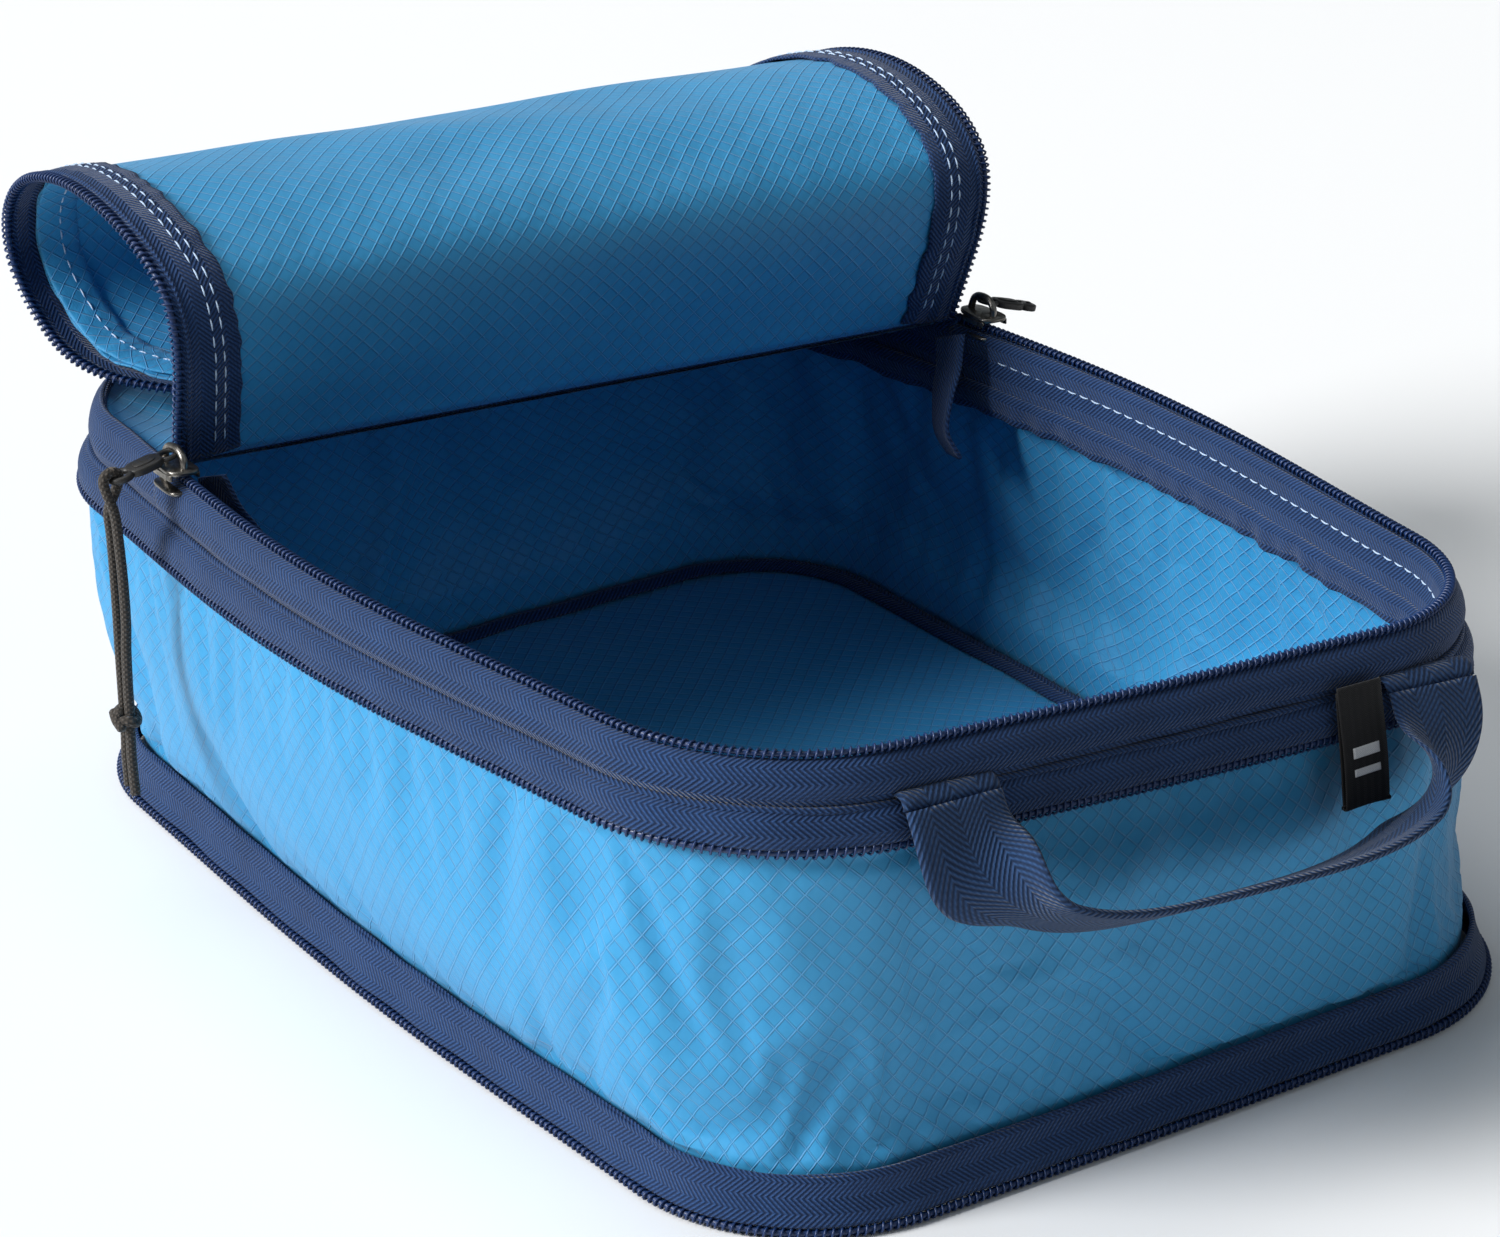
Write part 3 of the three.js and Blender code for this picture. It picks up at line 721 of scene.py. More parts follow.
def make_inner_binding():
    """The raw seam inside is bound with a narrow tape that ruffles as it goes round."""
    s = stations(0, rim.length, 1.6)[:-1]
    share = s / rim.length
    profile = ribbon([(-3.3, -11.2), (-3.9, -13.4), (-3.5, -16.6)], 0.9, 7)
    ruffle = waves(share, 21, 40, 110, 12, 0.55)
    droop = waves(share, 22, 20, 70, 10, 0.5)
    weight = np.linspace(0.2, 1, len(profile) // 2)
    weight = np.concatenate([weight, weight[::-1]])
    carried = np.repeat(profile[None], len(s), axis=0)
    carried[..., 0] += ruffle[:, None] * weight
    carried[..., 1] += droop[:, None] * weight
    points = swept(rim, s, carried)
    patch = Patch().grid(points, np.append(s, rim.length), lengths_of(profile), True, True)
    add(patch, "inner_binding", "tape", "top", "rim_seam_binding")


# ---------- the walls: one long strip of ripstop ----------
def wall_point(s, level):
    """Points of the wall's outer face, their outward normals, and their share of the way up its cloth.

    level runs from 0 at the foot to 1 at the rim.
    """
    i = rim.index(s)
    foot, foot_out = base.at_index(i)
    head, head_out = rim.at_index(i)
    skirt_z = SKIRT_TOP - 0.5
    band_w = -BAND_DROP - 1.5
    low_out, low_up, high_out, high_up = [
        np.interp(level, [0, SKIRT_LEVEL, BAND_LEVEL, 1], values)
        for values in ([-5.2, -4.6, -4.6, -4.6], [1.4, skirt_z, skirt_z, skirt_z],
                       [1.9, 1.9, 1.9, -1.5], [band_w, band_w, band_w, -TAPE_DROP - 1])]
    low = np.concatenate([foot + foot_out * low_out[..., None], low_up[..., None]], axis=-1)
    rim_flat = np.concatenate([head + head_out * high_out[..., None], high_up[..., None]], axis=-1)
    high = RIM_CENTRE + rim_flat @ TOP_AXES
    share = np.clip((level - SKIRT_LEVEL) / (BAND_LEVEL - SKIRT_LEVEL), 0, 1)[..., None]
    out = foot_out * (1 - share) + head_out * share
    out = unit(np.concatenate([out, np.zeros_like(out[..., :1])], axis=-1))
    return low * (1 - share) + high * share, out, share[..., 0]


def wall_creases(s, share):
    """How far the cloth stands out: a soft swell, long upright folds, and puckers at both seams."""
    around = s / rim.length
    under_handle = smooth((0.13 - np.abs(around - 0.5)) / 0.05)
    swell = (2.6 - 3.0 * under_handle) * np.sin(np.pi * share) ** 0.9
    random = np.random.default_rng(7)
    folds = np.zeros_like(s)
    for _ in range(58):
        place = random.uniform(0, rim.length)
        width = random.uniform(3.0, 9.0)
        lean = random.uniform(-26, 26)
        deep = random.uniform(-1.9, 0.7)
        starts_high = random.random() < 0.62
        reach = random.uniform(0.35, 1.0)
        from_seam = (1 - share) if starts_high else share
        fade = smooth(1 - from_seam / reach) * smooth(from_seam / 0.06 + 0.25)
        away = np.mod(s - place - lean * from_seam + rim.length / 2, rim.length) - rim.length / 2
        spread = width * (0.6 + 1.3 * from_seam)
        folds += deep * fade * np.exp(-(away / spread) ** 2)
    near_top = np.exp(-(1 - share) * 11)
    near_foot = np.exp(-share * 12)
    pucker_top = waves(around, 31, 50, 120, 14, 0.34) * near_top
    pucker = pucker_top + waves(around, 32, 50, 120, 14, 0.3) * near_foot
    slow = waves(around + 0.05 * share, 33, 4, 15, 8, 0.9) * np.sin(np.pi * share)
    return swell + folds * np.sin(np.pi * share) ** 0.6 + pucker + slow


def make_gusset():
    levels = np.concatenate([np.linspace(0, SKIRT_LEVEL, 5)[:-1],
                             np.linspace(SKIRT_LEVEL, BAND_LEVEL, 44),
                             np.linspace(BAND_LEVEL, 1, 5)[1:]])
    s = stations(0, rim.length, 2.0)[:-1]
    s_grid, level = np.meshgrid(s, levels, indexing="ij")
    points, out, share = wall_point(s_grid, level)
    creased = points + out * wall_creases(s_grid, share)[..., None]
    face = buckle(relax(creased))
    up = np.concatenate([[0], np.cumsum(np.linalg.norm(np.diff(face, axis=1), axis=2).mean(axis=0))])
    vs = np.concatenate([up, up[::-1], up[:1]])
    patch = Patch().grid(two_faced(face, face - out * CLOTH), np.append(s, rim.length), vs, True, True)
    wall = patch.make("gusset_fabric", look["fabric"], on_base)
    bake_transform(wall)
    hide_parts("side_gusset")


def two_faced(outer, inner):
    """Both faces of a cloth, as one closed section for each row."""
    return np.concatenate([outer, inner[:, ::-1]], axis=1)


def relax(face):
    """Two passes of averaging round the bag take the sharpness out of crossing folds."""
    for _ in range(2):
        near = (np.roll(face, 1, axis=0) + np.roll(face, -1, axis=0)) / 2
        face = face * 0.6 + near * 0.4
    return face


def buckle(face):
    """Lets the wall's cloth, which is cut a little too large, buckle between its seams in a simulation."""
    rows, columns = face.shape[:2]
    patch = Patch().grid(face, np.arange(rows + 1.0), np.arange(columns * 1.0), loop_rows=True)
    cloth = patch.make("wall_cloth", look["fabric"], on_base)
    index = np.arange(rows * columns).reshape(rows, columns)
    seams = cloth.vertex_groups.new(name="seams")
    held = index[:, :SEAM_ROWS].ravel().tolist() + index[:, -SEAM_ROWS:].ravel().tolist()
    seams.add(held, 1.0, "REPLACE")
    modifier = cloth.modifiers.new("cloth", "CLOTH")
    settings = modifier.settings
    values = dict(vertex_group_mass="seams", quality=5, mass=0.02, shrink_min=-0.03,
                  tension_stiffness=15, compression_stiffness=15, shear_stiffness=5,
                  bending_stiffness=0.02, tension_damping=5, compression_damping=5, air_damping=2)
    for key, value in values.items():
        setattr(settings, key, value)
    settings.effector_weights.gravity = 0.3
    modifier.collision_settings.use_collision = False
    modifier.point_cache.frame_end = BUCKLE_FRAMES
    scene = bpy.context.scene
    for number in range(1, BUCKLE_FRAMES + 1):
        scene.frame_set(number)
    settled = cloth.evaluated_get(bpy.context.evaluated_depsgraph_get()).data
    places = np.empty(rows * columns * 3)
    settled.vertices.foreach_get("co", places)
    moved = places.reshape(rows, columns, 3) / MM - face
    size = np.linalg.norm(moved, axis=2, keepdims=True) + 1e-9
    scene.frame_set(1)
    bpy.data.objects.remove(cloth)
    return face + moved * BUCKLE_MOST * np.tanh(size / BUCKLE_MOST) / size


# ---------- the base ----------
def make_base():
    section = ribbon([(-0.2, 2.4), (-0.9, 4.4), (-2.0, 7.4), (-2.7, SKIRT_TOP)], 0.9, 11)
    add_tape("base_skirt", base, section, 41, 0.16, "base_zip_tape")
    add(coil(Patch(), base, (0.1, 1.2), 0.95, 0.85), "base_coil", "coil", "base", "base_zip_coil")
    add(band(Patch(), base, circle((-1.15, 2.0), 0.6, 8)), "base_coil_cord", "tape", "base")
    add_tape("base_skirt_seam", base, circle((-2.9, SKIRT_TOP + 0.1), 0.5, 8), 43, 0.12)
    section = ribbon([(-5.6, 1.5), (-7.0, 2.4), (-8.6, 2.6), (-10.0, 1.6)], 0.8, 9)
    add_tape("base_binding", base, section, 45, 0.2, "base_seam_binding")
    make_floor_panel()


def make_floor_panel():
    """The bottom panel, inside and underside, in rings from its edge to its middle."""
    s = stations(0, base.length, 3.0)[:-1]
    edge, out = base.walk(s)
    edge = edge + out * -4.2
    rings = np.linspace(1, 0.001, 30)
    flat = edge[:, None] * rings[None, :, None]
    angle = np.arctan2(flat[..., 1], flat[..., 0])
    far = rings[None] * np.ones_like(angle)
    ripple = 0.3 * np.sin(3 * angle + 9 * far) * np.sin(np.pi * far)
    lift = 0.35 + ripple + 0.3 * np.sin(flat[..., 0] / 13 + far)
    lift = np.clip(lift, 0.1, 0.95) * smooth((1 - far) / 0.05 + 0.2)
    top = np.concatenate([flat, (0.45 + lift)[..., None]], axis=-1)
    under = np.concatenate([flat, np.full_like(lift, 0.05)[..., None]], axis=-1)
    layer = np.concatenate([top[:, ::-1], under], axis=1)
    us, vs = [np.concatenate([layer[..., axis], layer[:1, :, axis]]) for axis in range(2)]
    add(Patch().grid(layer, us, vs, loop_rows=True), "base_fabric", "fabric", "base", "base_panel")


# ---------- the fixed panel behind the hinge ----------
def wrapped(lengths):
    """A sheet's own lengths, for both of its faces in one closed section."""
    return np.concatenate([lengths, lengths[:, ::-1], lengths[:, :1]], axis=1)


def make_back_panel():
    v = np.linspace(HINGE_V + 0.6, RIM_SHAPE["half_y"] - 0.2, 60)
    across = np.linspace(-1, 1, 120)
    reach = half_width(RIM_SHAPE, v) - 1.2
    u = reach[:, None] * across[None]
    v_grid = np.broadcast_to(v[:, None], u.shape)
    arch = np.sin(np.pi * (v_grid - HINGE_V) / (RIM_SHAPE["half_y"] - HINGE_V))
    sag = 0.3 + 3.6 * arch ** 0.7 * (1 - across[None] ** 8)
    random = np.random.default_rng(52)
    ripple = np.zeros_like(u)
    for _ in range(16):
        turn = random.uniform(0, np.pi)
        step = random.uniform(15, 46)
        ripple += np.sin((u * np.cos(turn) + v_grid * np.sin(turn)) / step * 2 * np.pi + random.uniform(0, 6))
    height = -sag + 0.19 * ripple * (arch * (1 - across[None] ** 6))
    face = np.stack([u, v_grid, height], axis=-1)
    points = two_faced(face, face - [0, 0, CLOTH])
    patch = Patch().grid(points, wrapped(v_grid), wrapped(u), loop_columns=True)
    add(patch, "back_panel_fabric", "fabric", "top", "top_back_panel")
    rows = Patch()
    for v_row in (HINGE_V + 3.2, HINGE_V + 5.4):
        wide = half_width(RIM_SHAPE, v_row) - 6
        for start in np.arange(-wide, wide - STITCH, STITCH + 1.1):
            x = start + np.linspace(0, STITCH, 6)
            sink = np.interp(v_row, v, height[:, 60]) + 0.12 + 0.18 * np.sin(np.pi * np.linspace(0, 1, 6))
            tube(rows, np.column_stack([x, np.full(6, v_row), sink]), 0.22, sides=5, round_ends=True)
    add(rows, "back_panel_stitches", "thread", "top", slot=SLOTS["fabric"])
    wide = half_width(RIM_SHAPE, HINGE_V) - 3.6
    x = np.linspace(-wide, wide, 90)
    section = ribbon([(0.2, 0.3), (1.4, 0.75), (2.6, 0.0), (2.2, -1.0)], 0.6, 7)
    axes = np.broadcast_arrays(x[:, None], HINGE_V + 0.3 + section[:, 0], section[:, 1] - 0.35)
    grid = np.stack(axes, axis=-1)
    binding = Patch().grid(grid, x, lengths_of(section), loop_columns=True).close_ends(grid)
    add(binding, "hinge_binding", "tape", "top", "hinge_seam_binding")


def make_tape_ends():
    """The main zip's tape runs on past the hinge at both ends and hangs loose inside."""
    for side, label in SIDES:
        u = side * (half_width(RIM_SHAPE, HINGE_V) - 6.5)
        line = curve([(u, 56, -1.5), (u - side * 1.5, 54, -7), (u - side * 4.5, 51.5, -13),
                      (u - side * 6.0, 49.5, -19), (u - side * 4.0, 47.5, -24)], 26)
        t = np.linspace(0, 1, len(line))
        across = unit(np.stack([side * (0.1 + 0.35 * t), 1 - 0.1 * t, -0.4 * t], axis=1))
        add(strap(line, across, 11, 0.8), f"tape_end_{label}", "tape", "top", f"zip_tape_end_{label}")


def strap(line, across, width, thickness, count=11):
    """A flat strap along a line, with rounded edges. across gives the direction of its width."""
    tangent = unit(np.gradient(line, axis=0))
    normal = unit(np.cross(across, tangent))
    across = np.cross(tangent, normal)
    reach = width / 2 - thickness / 2
    section = ribbon([(-reach, 0), (0, 0), (reach, 0)], thickness, count)
    points = line[:, None] + across[:, None] * section[None, :, :1] + normal[:, None] * section[None, :, 1:]
    patch = Patch().grid(points, distances(line), lengths_of(section), loop_columns=True)
    return patch.close_ends(points)


make_rim()
make_gusset()
make_base()
make_back_panel()
make_tape_ends()


# ---------- the lid: drawn flat, then bent along the smooth line of its roll ----------
class Roll:
    """The line that the lid follows when it is rolled back, as seen along the hinge.

    It is a quadratic curve through the middles of the CAD strips, with the strips' hinges as its
    control points. A place on the lid is (u, v, n): across, along as if it were closed, and out of its face.
    """

    def __init__(self):
        names = ["lid_open"] + [f"lid_curl_{k}" for k in range(2, LID_STRIPS + 1)]
        hinges = [self.seen(np.array(joints[name]["pos_m"]) / MM) for name in names]
        low = np.array([self.seen(np.array(vertex.co) / MM)
                        for vertex in frame["nodes"]["lid_front_zip"].data.vertices])
        far = np.linalg.norm(low - hinges[-1], axis=1)
        hinges.append(low[far > far.max() - 1.0].mean(axis=0))
        self.corners = np.array(hinges)
        starts = distances(self.corners)
        self.lengths = np.linalg.norm(np.diff(self.corners, axis=0), axis=1)
        self.total = starts[-1]
        self.middles = starts[:-1] + self.lengths / 2

    @staticmethod
    def seen(point):
        return (TOP_AXES @ (point - RIM_CENTRE))[1:]

    def line(self, t):
        """Points (v, w) and unit tangents at the distances t from the hinge."""
        t = np.asarray(t, float)
        point = np.empty(t.shape + (2,))
        tangent = np.empty(t.shape + (2,))
        way = np.diff(self.corners, axis=0) / self.lengths[:, None]
        zone = np.clip(np.searchsorted(self.middles, t), 0, len(self.middles))
        for k in range(len(self.middles) + 1):
            here = zone == k
            if k in (0, len(self.middles)):
                strip = 0 if k == 0 else len(self.lengths) - 1
                corner = self.corners[0] if k == 0 else self.corners[-1]
                past = t[here] - (0 if k == 0 else self.total)
                point[here] = corner + past[:, None] * way[strip]
                tangent[here] = way[strip]
                continue
            a, b = self.lengths[k - 1] / 2, self.lengths[k] / 2
            gone = t[here] - self.middles[k - 1]
            curl = b - a
            if abs(curl) < 1e-6:
                f = gone / (2 * a)
            else:
                f = (-a + np.sqrt(a * a + curl * gone)) / curl
            f = f[:, None]
            first = self.corners[k] - a * way[k - 1]
            last = self.corners[k] + b * way[k]
            point[here] = first * (1 - f) ** 2 + 2 * self.corners[k] * f * (1 - f) + last * f ** 2
            slope = (self.corners[k] - first) * (1 - f) + (last - self.corners[k]) * f
            tangent[here] = slope / np.linalg.norm(slope, axis=1)[:, None]
        return point, tangent

    def place(self, points):
        """From the lid's own flat frame to the row frame, in metres."""
        point, tangent = self.line(HINGE_V - points[:, 1])
        v = point[:, 0] + points[:, 2] * tangent[:, 1]
        w = point[:, 1] - points[:, 2] * tangent[:, 0]
        return on_top(np.column_stack([points[:, 0], v, w]))

    def middle(self, strip):
        """The middle of a strip, counted from 0, in the row frame."""
        return tuple(self.place(np.array([[0, HINGE_V - self.middles[strip], 0]]))[0])


roll = Roll()
LID_SHAPE = dict(RIM_SHAPE)
for key in ("half_x", "half_y", "radius"):
    LID_SHAPE[key] -= LID_CLEARANCE
lid = Outline(**LID_SHAPE)


def lay_on_roll(patch, name, finish, replaced=()):
    """Cuts a flat patch at the middle of each strip and bends it along the roll. The first length rides on
    the first strip, the last length on the last strip, and the lengths between stay where they are laid.
    """
    points, faces, uvs = patch.arrays()
    place = roll.place(points)
    t = HINGE_V - points[faces, 1].mean(axis=1)
    zone = np.searchsorted(roll.middles, t)
    count = len(roll.middles)
    for k in range(count + 1):
        here = zone == k
        if not here.any():
            continue
        piece = make_object(f"{name}_{k}", place, faces[here], uvs[here], look[finish])
        if k == 0:
            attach(piece, "lid_1")
        elif k == count:
            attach(piece, f"lid_{count}")
        else:
            roll.middle(k - 1)
            roll.middle(k)
            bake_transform(piece)
    if replaced:
        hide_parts(*replaced)


def lid_swell(u, t, edge):
    """The lid's cloth stands out a little between its tapes, and puckers where it is sewn to them."""
    random = np.random.default_rng(61)
    total = np.zeros_like(u)
    for _ in range(10):
        step = random.uniform(26, 60)
        lean = random.uniform(-0.5, 0.5)
        total += np.sin((t + lean * u) / step * 2 * np.pi + random.uniform(0, 6)) * random.uniform(0.3, 1)
    near = np.exp(-edge / 6.0)
    pucker = np.zeros_like(u)
    for _ in range(8):
        step = random.uniform(7, 14)
        pucker += np.sin(t / step * 2 * np.pi + np.sign(u) + random.uniform(0, 6)) * random.uniform(0.3, 1)
    calm = smooth(t / 8) * smooth((roll.total - t) / 10)
    return (0.13 * total + 0.15 * pucker * near) * calm


def make_lid():
    t = stations(0.4, roll.total - LID_MARGIN, 1.8)
    reach = half_width(LID_SHAPE, HINGE_V - t) - LID_MARGIN
    across = np.sin(np.linspace(-1, 1, 90) * np.pi / 2 * 0.86)
    across /= across[-1]
    u = reach[:, None] * across[None]
    t_grid = np.broadcast_to(t[:, None], u.shape)
    face = lid_swell(u, t_grid, np.minimum(reach[:, None] - np.abs(u), 60))
    sheet = np.stack([u, HINGE_V - t_grid, face], axis=-1)
    both = two_faced(sheet + [0, 0, CLOTH / 2], sheet - [0, 0, CLOTH / 2])
    patch = Patch().grid(both, wrapped(t_grid), wrapped(u), loop_columns=True)
    panels = [f"lid_panel_{k}" for k in range(1, LID_STRIPS + 1)]
    lay_on_roll(patch.close_ends(both), "lid_fabric", "fabric", panels)

    start = lid.reaches(HINGE_V - 0.6)
    ends = (start, lid.length - start)

    def frayed(s, profile):
        inner = np.exp(-((profile[None, :, 0] + LID_TAPE + 0.3) / 2.4) ** 2)
        gather = waves(s / lid.length, 71, 60, 170, 14, 0.5)[:, None] * inner
        ripple = waves(s / lid.length, 72, 40, 120, 10, 0.12)[:, None]
        return np.stack([gather, np.broadcast_to(ripple, gather.shape)], axis=-1)

    tape = ribbon([(-LID_TAPE - 0.6, -0.75), (-7.5, -0.95), (-3.5, -0.7), (0.1, -0.15)], 0.7, 15)
    patch = band(Patch(), lid, tape, *ends, step=1.6, wave=frayed)
    side_tapes = [f"lid_zip_{label}_{k}" for _, label in SIDES for k in range(1, LID_STRIPS)]
    lay_on_roll(patch, "lid_tape", "tape", ["lid_front_zip"] + side_tapes)
    hem = ribbon([(-13.5, 0.55), (-10.0, 0.95), (-6.6, 0.75), (-5.2, 0.45)], 0.5, 9)
    patch = band(Patch(), lid, hem, *ends, step=1.6, wave=frayed)
    lay_on_roll(patch, "lid_hem", "fabric")
    patch = coil(Patch(), lid, (0.95, -0.1), 1.05, 0.85, *ends)
    lay_on_roll(patch, "lid_coil", "coil")
    edge = band(Patch(), lid, circle((-1.1, -0.55), 0.55, 8), *ends, step=1.6)
    lay_on_roll(edge, "lid_coil_cord", "tape")
    patch = Patch()
    for out, up, seed in ((-6.3, -1.28, 5), (-8.2, -1.32, 6), (-9.6, 1.22, 7)):
        stitches(patch, lid, out, up, ends[0] + 2, ends[1] - 2, drift=0.14, seed=seed)
    lay_on_roll(patch, "lid_stitches", "thread")


# ---------- sliders and pulls ----------
def extruded(patch, outline_points, low, high, bevel=0.35):
    """A plate from a closed outline, with its top and bottom edges rounded off."""
    shape = np.array(outline_points, float)
    centre = shape.mean(axis=0)
    away = shape - centre
    size = np.linalg.norm(away, axis=1)[:, None]

    def ring(share, height):
        return np.column_stack([centre + away * share, np.full(len(shape), height)])

    layers = [(low, bevel), (low + bevel * 0.3, bevel * 0.3), (low + bevel, 0),
              (high - bevel, 0), (high - bevel * 0.3, bevel * 0.3), (high, bevel)]
    sides = [ring(1 - inset / size, height) for height, inset in layers]
    grid = np.stack([ring(0.02, low), *sides, ring(0.02, high)])
    patch.grid(grid, np.arange(len(grid)) * 1.0, np.arange(len(shape) + 1) * 0.5, loop_columns=True)
    return patch.close_ends(grid)


def rounded(half_x, half_y, power, taper=0.0):
    """A rounded rectangle as a superellipse, narrower towards +y where it tapers."""
    turn = np.linspace(0, 2 * np.pi, 40, endpoint=False)
    x = np.sign(np.cos(turn)) * np.abs(np.cos(turn)) ** (2 / power) * half_x
    y = np.sign(np.sin(turn)) * np.abs(np.sin(turn)) ** (2 / power) * half_y
    return np.column_stack([x * (1 - taper * (y / half_y + 1) / 2), y])


def slider_patch():
    """A coil slider: two plates joined by a post at the nose, with a bridge over the top for the pull."""
    patch = Patch()
    plate = rounded(3.6, 5.4, 3.4, taper=0.25)
    extruded(patch, plate, 0.0, 1.0)
    extruded(patch, plate * 0.96, -3.9, -3.1)
    extruded(patch, rounded(1.0, 1.6, 2.4) + [0, 3.4], -3.1, 0.1, 0.1)
    for side in (-1, 1):
        flange = rounded(0.4, 3.6, 3) + [side * 2.9, -0.9]
        extruded(patch, flange, -0.9, 0.2, 0.1)
    arch = curve([(0, -3.9, 0.8), (0, -3.7, 2.8), (0, -2.0, 4.1),
                  (0, 0.6, 4.2), (0, 2.7, 3.3), (0, 3.9, 0.8)], 40)
    return tube(patch, arch, 0.75, sides=10)


def pull_patch(holes):
    """A tab that hangs from the bridge by a loop, with a second loop or two small studs at its end."""
    patch = Patch()
    turn = np.linspace(0, 2 * np.pi, 33)
    loop = np.column_stack([1.9 * np.cos(turn) + 0.6, 1.75 * np.sin(turn), 0.0 * turn])
    tube(patch, loop, 0.5, sides=8)
    body = rounded(3.6, 2.45, 3.0)
    extruded(patch, body + [5.6, 0], -0.75, 0.75)
    extruded(patch, body * [0.62, 0.5] + [5.6, 0], 0.7, 0.98, 0.15)
    if holes:
        end = np.column_stack([2.1 * np.cos(turn) + PULL_REACH, 1.9 * np.sin(turn), 0.0 * turn])
        tube(patch, end, 0.72, sides=10)
    else:
        extruded(patch, rounded(2.3, 2.3, 2.4) + [10.2, 0], -0.7, 0.7)
        for x in (8.6, 11.0):
            extruded(patch, rounded(0.5, 0.5, 2) + [x, 0], 0.6, 0.95, 0.1)
    return patch


def make_sliders():
    for side, label in SIDES:
        at = np.array([side * (half_width(RIM_SHAPE, HINGE_V - 4) + 0.9), HINGE_V - 6, 1.5])
        add(slider_patch(), f"slider_{label}_body", "metal", f"slider_{label}", f"slider_{label}",
            place=lambda points: on_top(points + at))
        add(pull_patch(label == "left"), f"pull_{label}_tab", "pull", f"pull_{label}", f"pull_{label}",
            place=on_pull(label, side))


def make_compression_slider():
    low, high = [np.array(corner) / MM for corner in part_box("compression_slider")]
    middle = (low + high) / 2
    hinge = np.array(joints["compression_pull_swing"]["pos_m"]) / MM

    def on_wall(points):
        return on_base(points[:, [1, 2, 0]] + [middle[0], low[1] + 0.9, middle[2]])

    def outwards(points):
        return on_base(np.column_stack([points[:, 1], points[:, 0] + 0.8, points[:, 2]]) + hinge)

    add(slider_patch(), "compression_slider_body", "metal", "compression_slider", "compression_slider",
        place=on_wall)
    add(pull_patch(False), "compression_pull_tab", "pull", "compression_pull", "compression_pull",
        place=outwards)


# ---------- handle and label ----------
def make_handle():
    """A webbing strap that leaves both anchors flat and twists over to hang edge down between them."""
    outward = FRONT_V - 4.4
    down = np.array([0, -HANDLE["reach"], -HANDLE["drop"]], float)
    depth = np.linalg.norm(down)
    down /= depth
    plane = unit(np.array([0, -HANDLE["drop"], HANDLE["reach"]], float))
    t = np.linspace(0, 1, 130)
    angle = np.pi * t
    along = -np.sign(np.cos(angle)) * np.abs(np.cos(angle)) ** 0.55 * HANDLE["half_span"]
    sink = np.sin(angle) ** 0.8 * depth
    line = np.array([HANDLE["centre"], outward, WEBBING_TOP]) + along[:, None] * [1, 0, 0]
    line = line + (sink + 0.6)[:, None] * down
    for _ in range(6):
        line[1:-1] = (line[:-2] + line[1:-1] * 2 + line[2:]) / 4
    tangent = unit(np.gradient(line, axis=0))
    edge = np.minimum(t, 1 - t)
    turn = np.pi / 2 * smooth((edge - 0.02) / 0.28)
    flat = unit(np.cross(np.broadcast_to(plane, tangent.shape), tangent))
    across = flat * np.cos(turn)[:, None] + plane * np.sin(turn)[:, None]
    patch = strap(line, across, HANDLE["width"], HANDLE["thickness"], 15)
    add(patch, "handle_strap", "webbing", "handle", "handle_webbing")
    for side, label in SIDES:
        u = HANDLE["centre"] + side * HANDLE["half_span"]
        rise = curve([(u, outward + away, WEBBING_TOP + up)
                      for away, up in ((0.2, -0.7), (0.7, 0.5), (2.0, 1.3), (3.8, 1.2))], 16)
        patch = strap(rise, np.broadcast_to([1.0, 0, 0], rise.shape), HANDLE["width"], 1.1, 15)
        add(patch, f"handle_anchor_{label}_strap", "webbing", "top", f"handle_anchor_{label}")


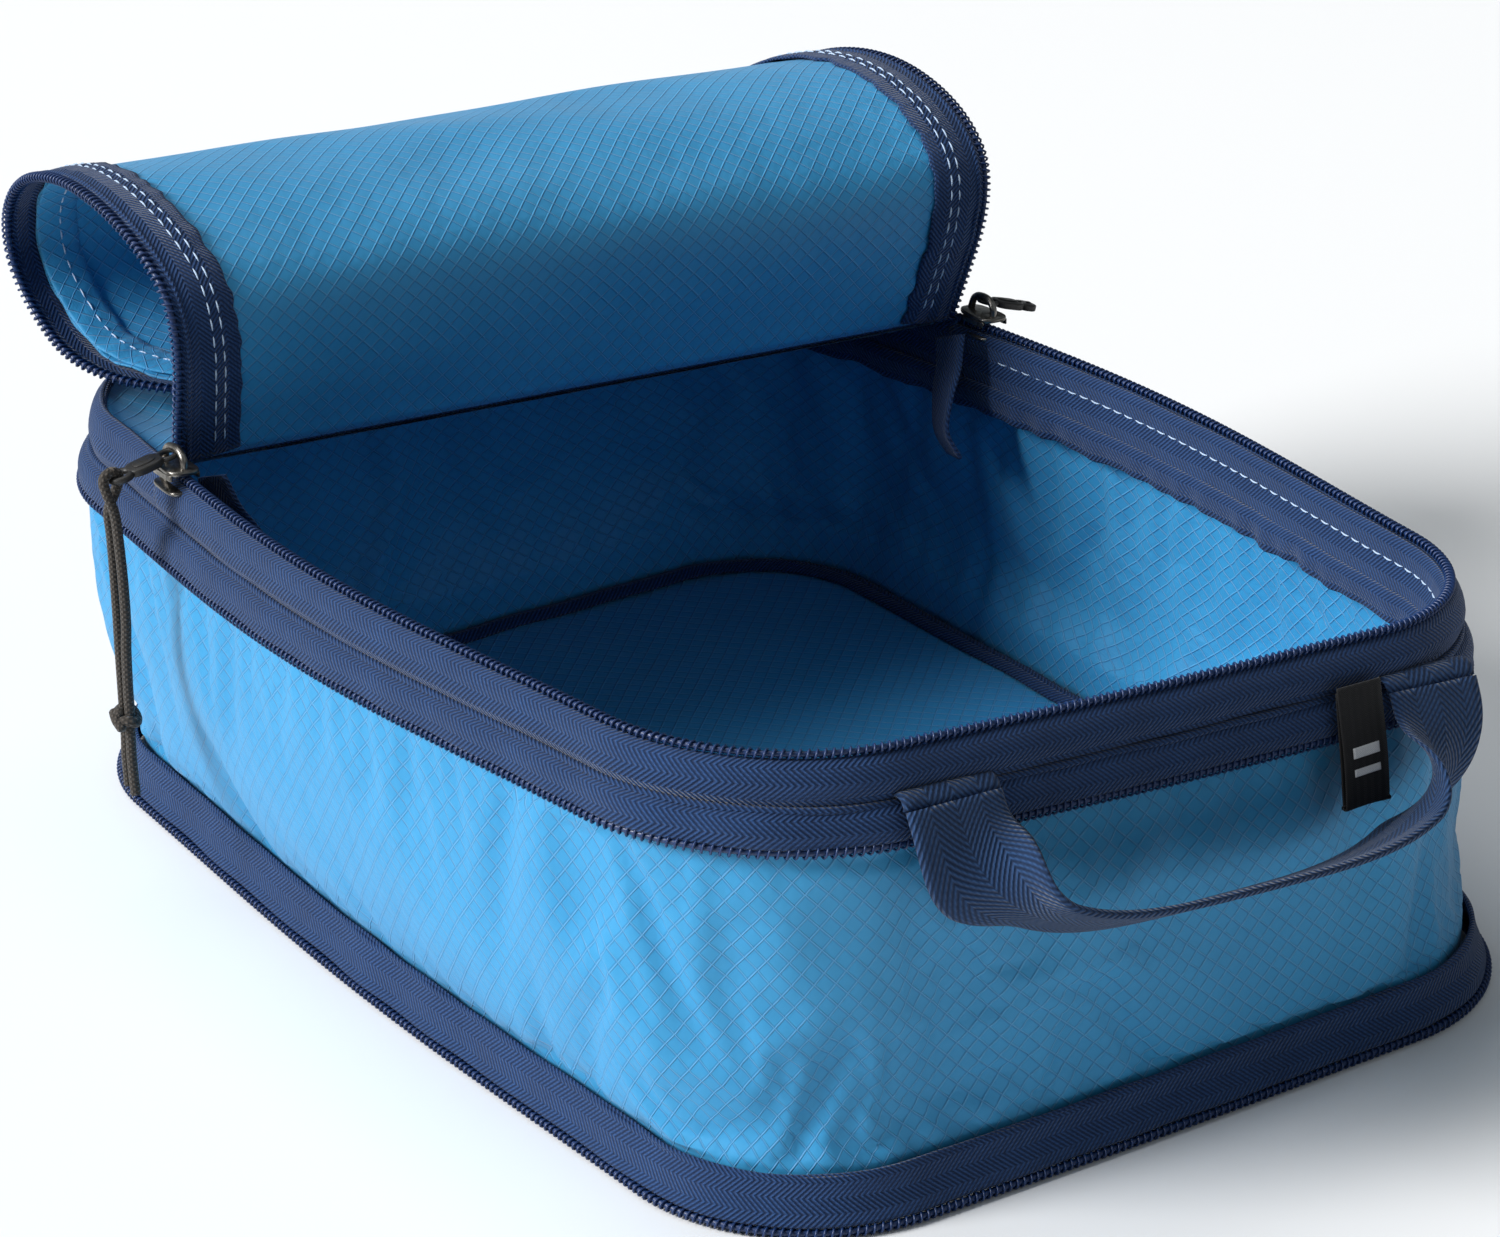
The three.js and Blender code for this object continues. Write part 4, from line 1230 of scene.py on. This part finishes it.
def make_label():
    """A folded woven label sewn in beside the strap, with a plain two-bar mark."""
    u = HANDLE["centre"] + HANDLE["half_span"] - HANDLE["width"] / 2 - 7
    outward = FRONT_V - 5.6
    fold = curve([(u, outward + away, WEBBING_TOP + up)
                  for away, up in ((1.2, 3), (-0.4, -3), (-2.2, -10), (-3.4, -17.4),
                                   (-3.0, -18.0), (-2.4, -17.2), (-0.9, -9), (1.4, 2))], 60)
    wide = unit(np.broadcast_to([1.0, 0.12, 0.0], fold.shape))
    add(strap(fold, wide, 11, 0.45, 9), "label_fold", "label", "top", "size_label")
    half_bar = 3.2
    slope = unit(np.array([0, -0.25, -1.0]))
    outwards = unit(np.array([0, -1.0, 0.25]))
    mark = Patch()
    for low, high in ((-9.4, -7.6), (-12.6, -11.4)):
        w = (low + high) / 2 + WEBBING_TOP
        depth = np.interp(-w, -fold[:30, 2], fold[:30, 1])
        x = np.linspace(-half_bar, half_bar, 12)
        line = np.column_stack([u + x, depth - 0.3 + 0.12 * x, np.full(12, w)])
        half = (high - low) / 2
        stripe = ribbon([(-half, 0), (0, 0), (half, 0)], 0.16, 5)
        grid = line[:, None] + stripe[None, :, :1] * slope + stripe[None, :, 1:] * outwards
        along = np.linspace(0, 2 * half_bar, 12)
        mark.grid(grid, along, lengths_of(stripe), loop_columns=True).close_ends(grid)
    add(mark, "label_mark", "mark", "top")


make_lid()
make_sliders()
make_compression_slider()
make_handle()
make_label()


# ---------- floor, light and background ----------
def make_stage():
    floor_size = 12
    bpy.ops.mesh.primitive_plane_add(size=floor_size, location=(0, 0, 0))
    floor = bpy.context.active_object
    floor.name = "floor"
    floor.data.materials.append(floor_paint("pale_floor"))
    world = bpy.data.worlds.new("studio")
    world.use_nodes = True
    background = world.node_tree.nodes["Background"].inputs
    background["Color"].default_value = (0.8, 0.92, 1, 1)
    background["Strength"].default_value = 0.17
    bpy.context.scene.world = world
    bpy.context.scene.view_settings.view_transform = "Standard"
    for name, kind, place, size, power in (("key", "SUN", (-1.4, 0.42, 0.9), 0.5, 4.6),
                                           ("top", "AREA", (-0.2, 0.5, 1.6), 1.2, 9),
                                           ("front", "AREA", (0.3, -1.7, 0.9), 1.4, 2.0)):
        data = bpy.data.lights.new(name, kind)
        setattr(data, "angle" if kind == "SUN" else "size", size)
        data.energy = power
        light = bpy.data.objects.new(name, data)
        light.location = place
        light.rotation_mode = "QUATERNION"
        light.rotation_quaternion = (Vector(place) - Vector((0, 0, 0.06))).to_track_quat("Z", "Y")
        bpy.context.scene.collection.objects.link(light)


make_stage()
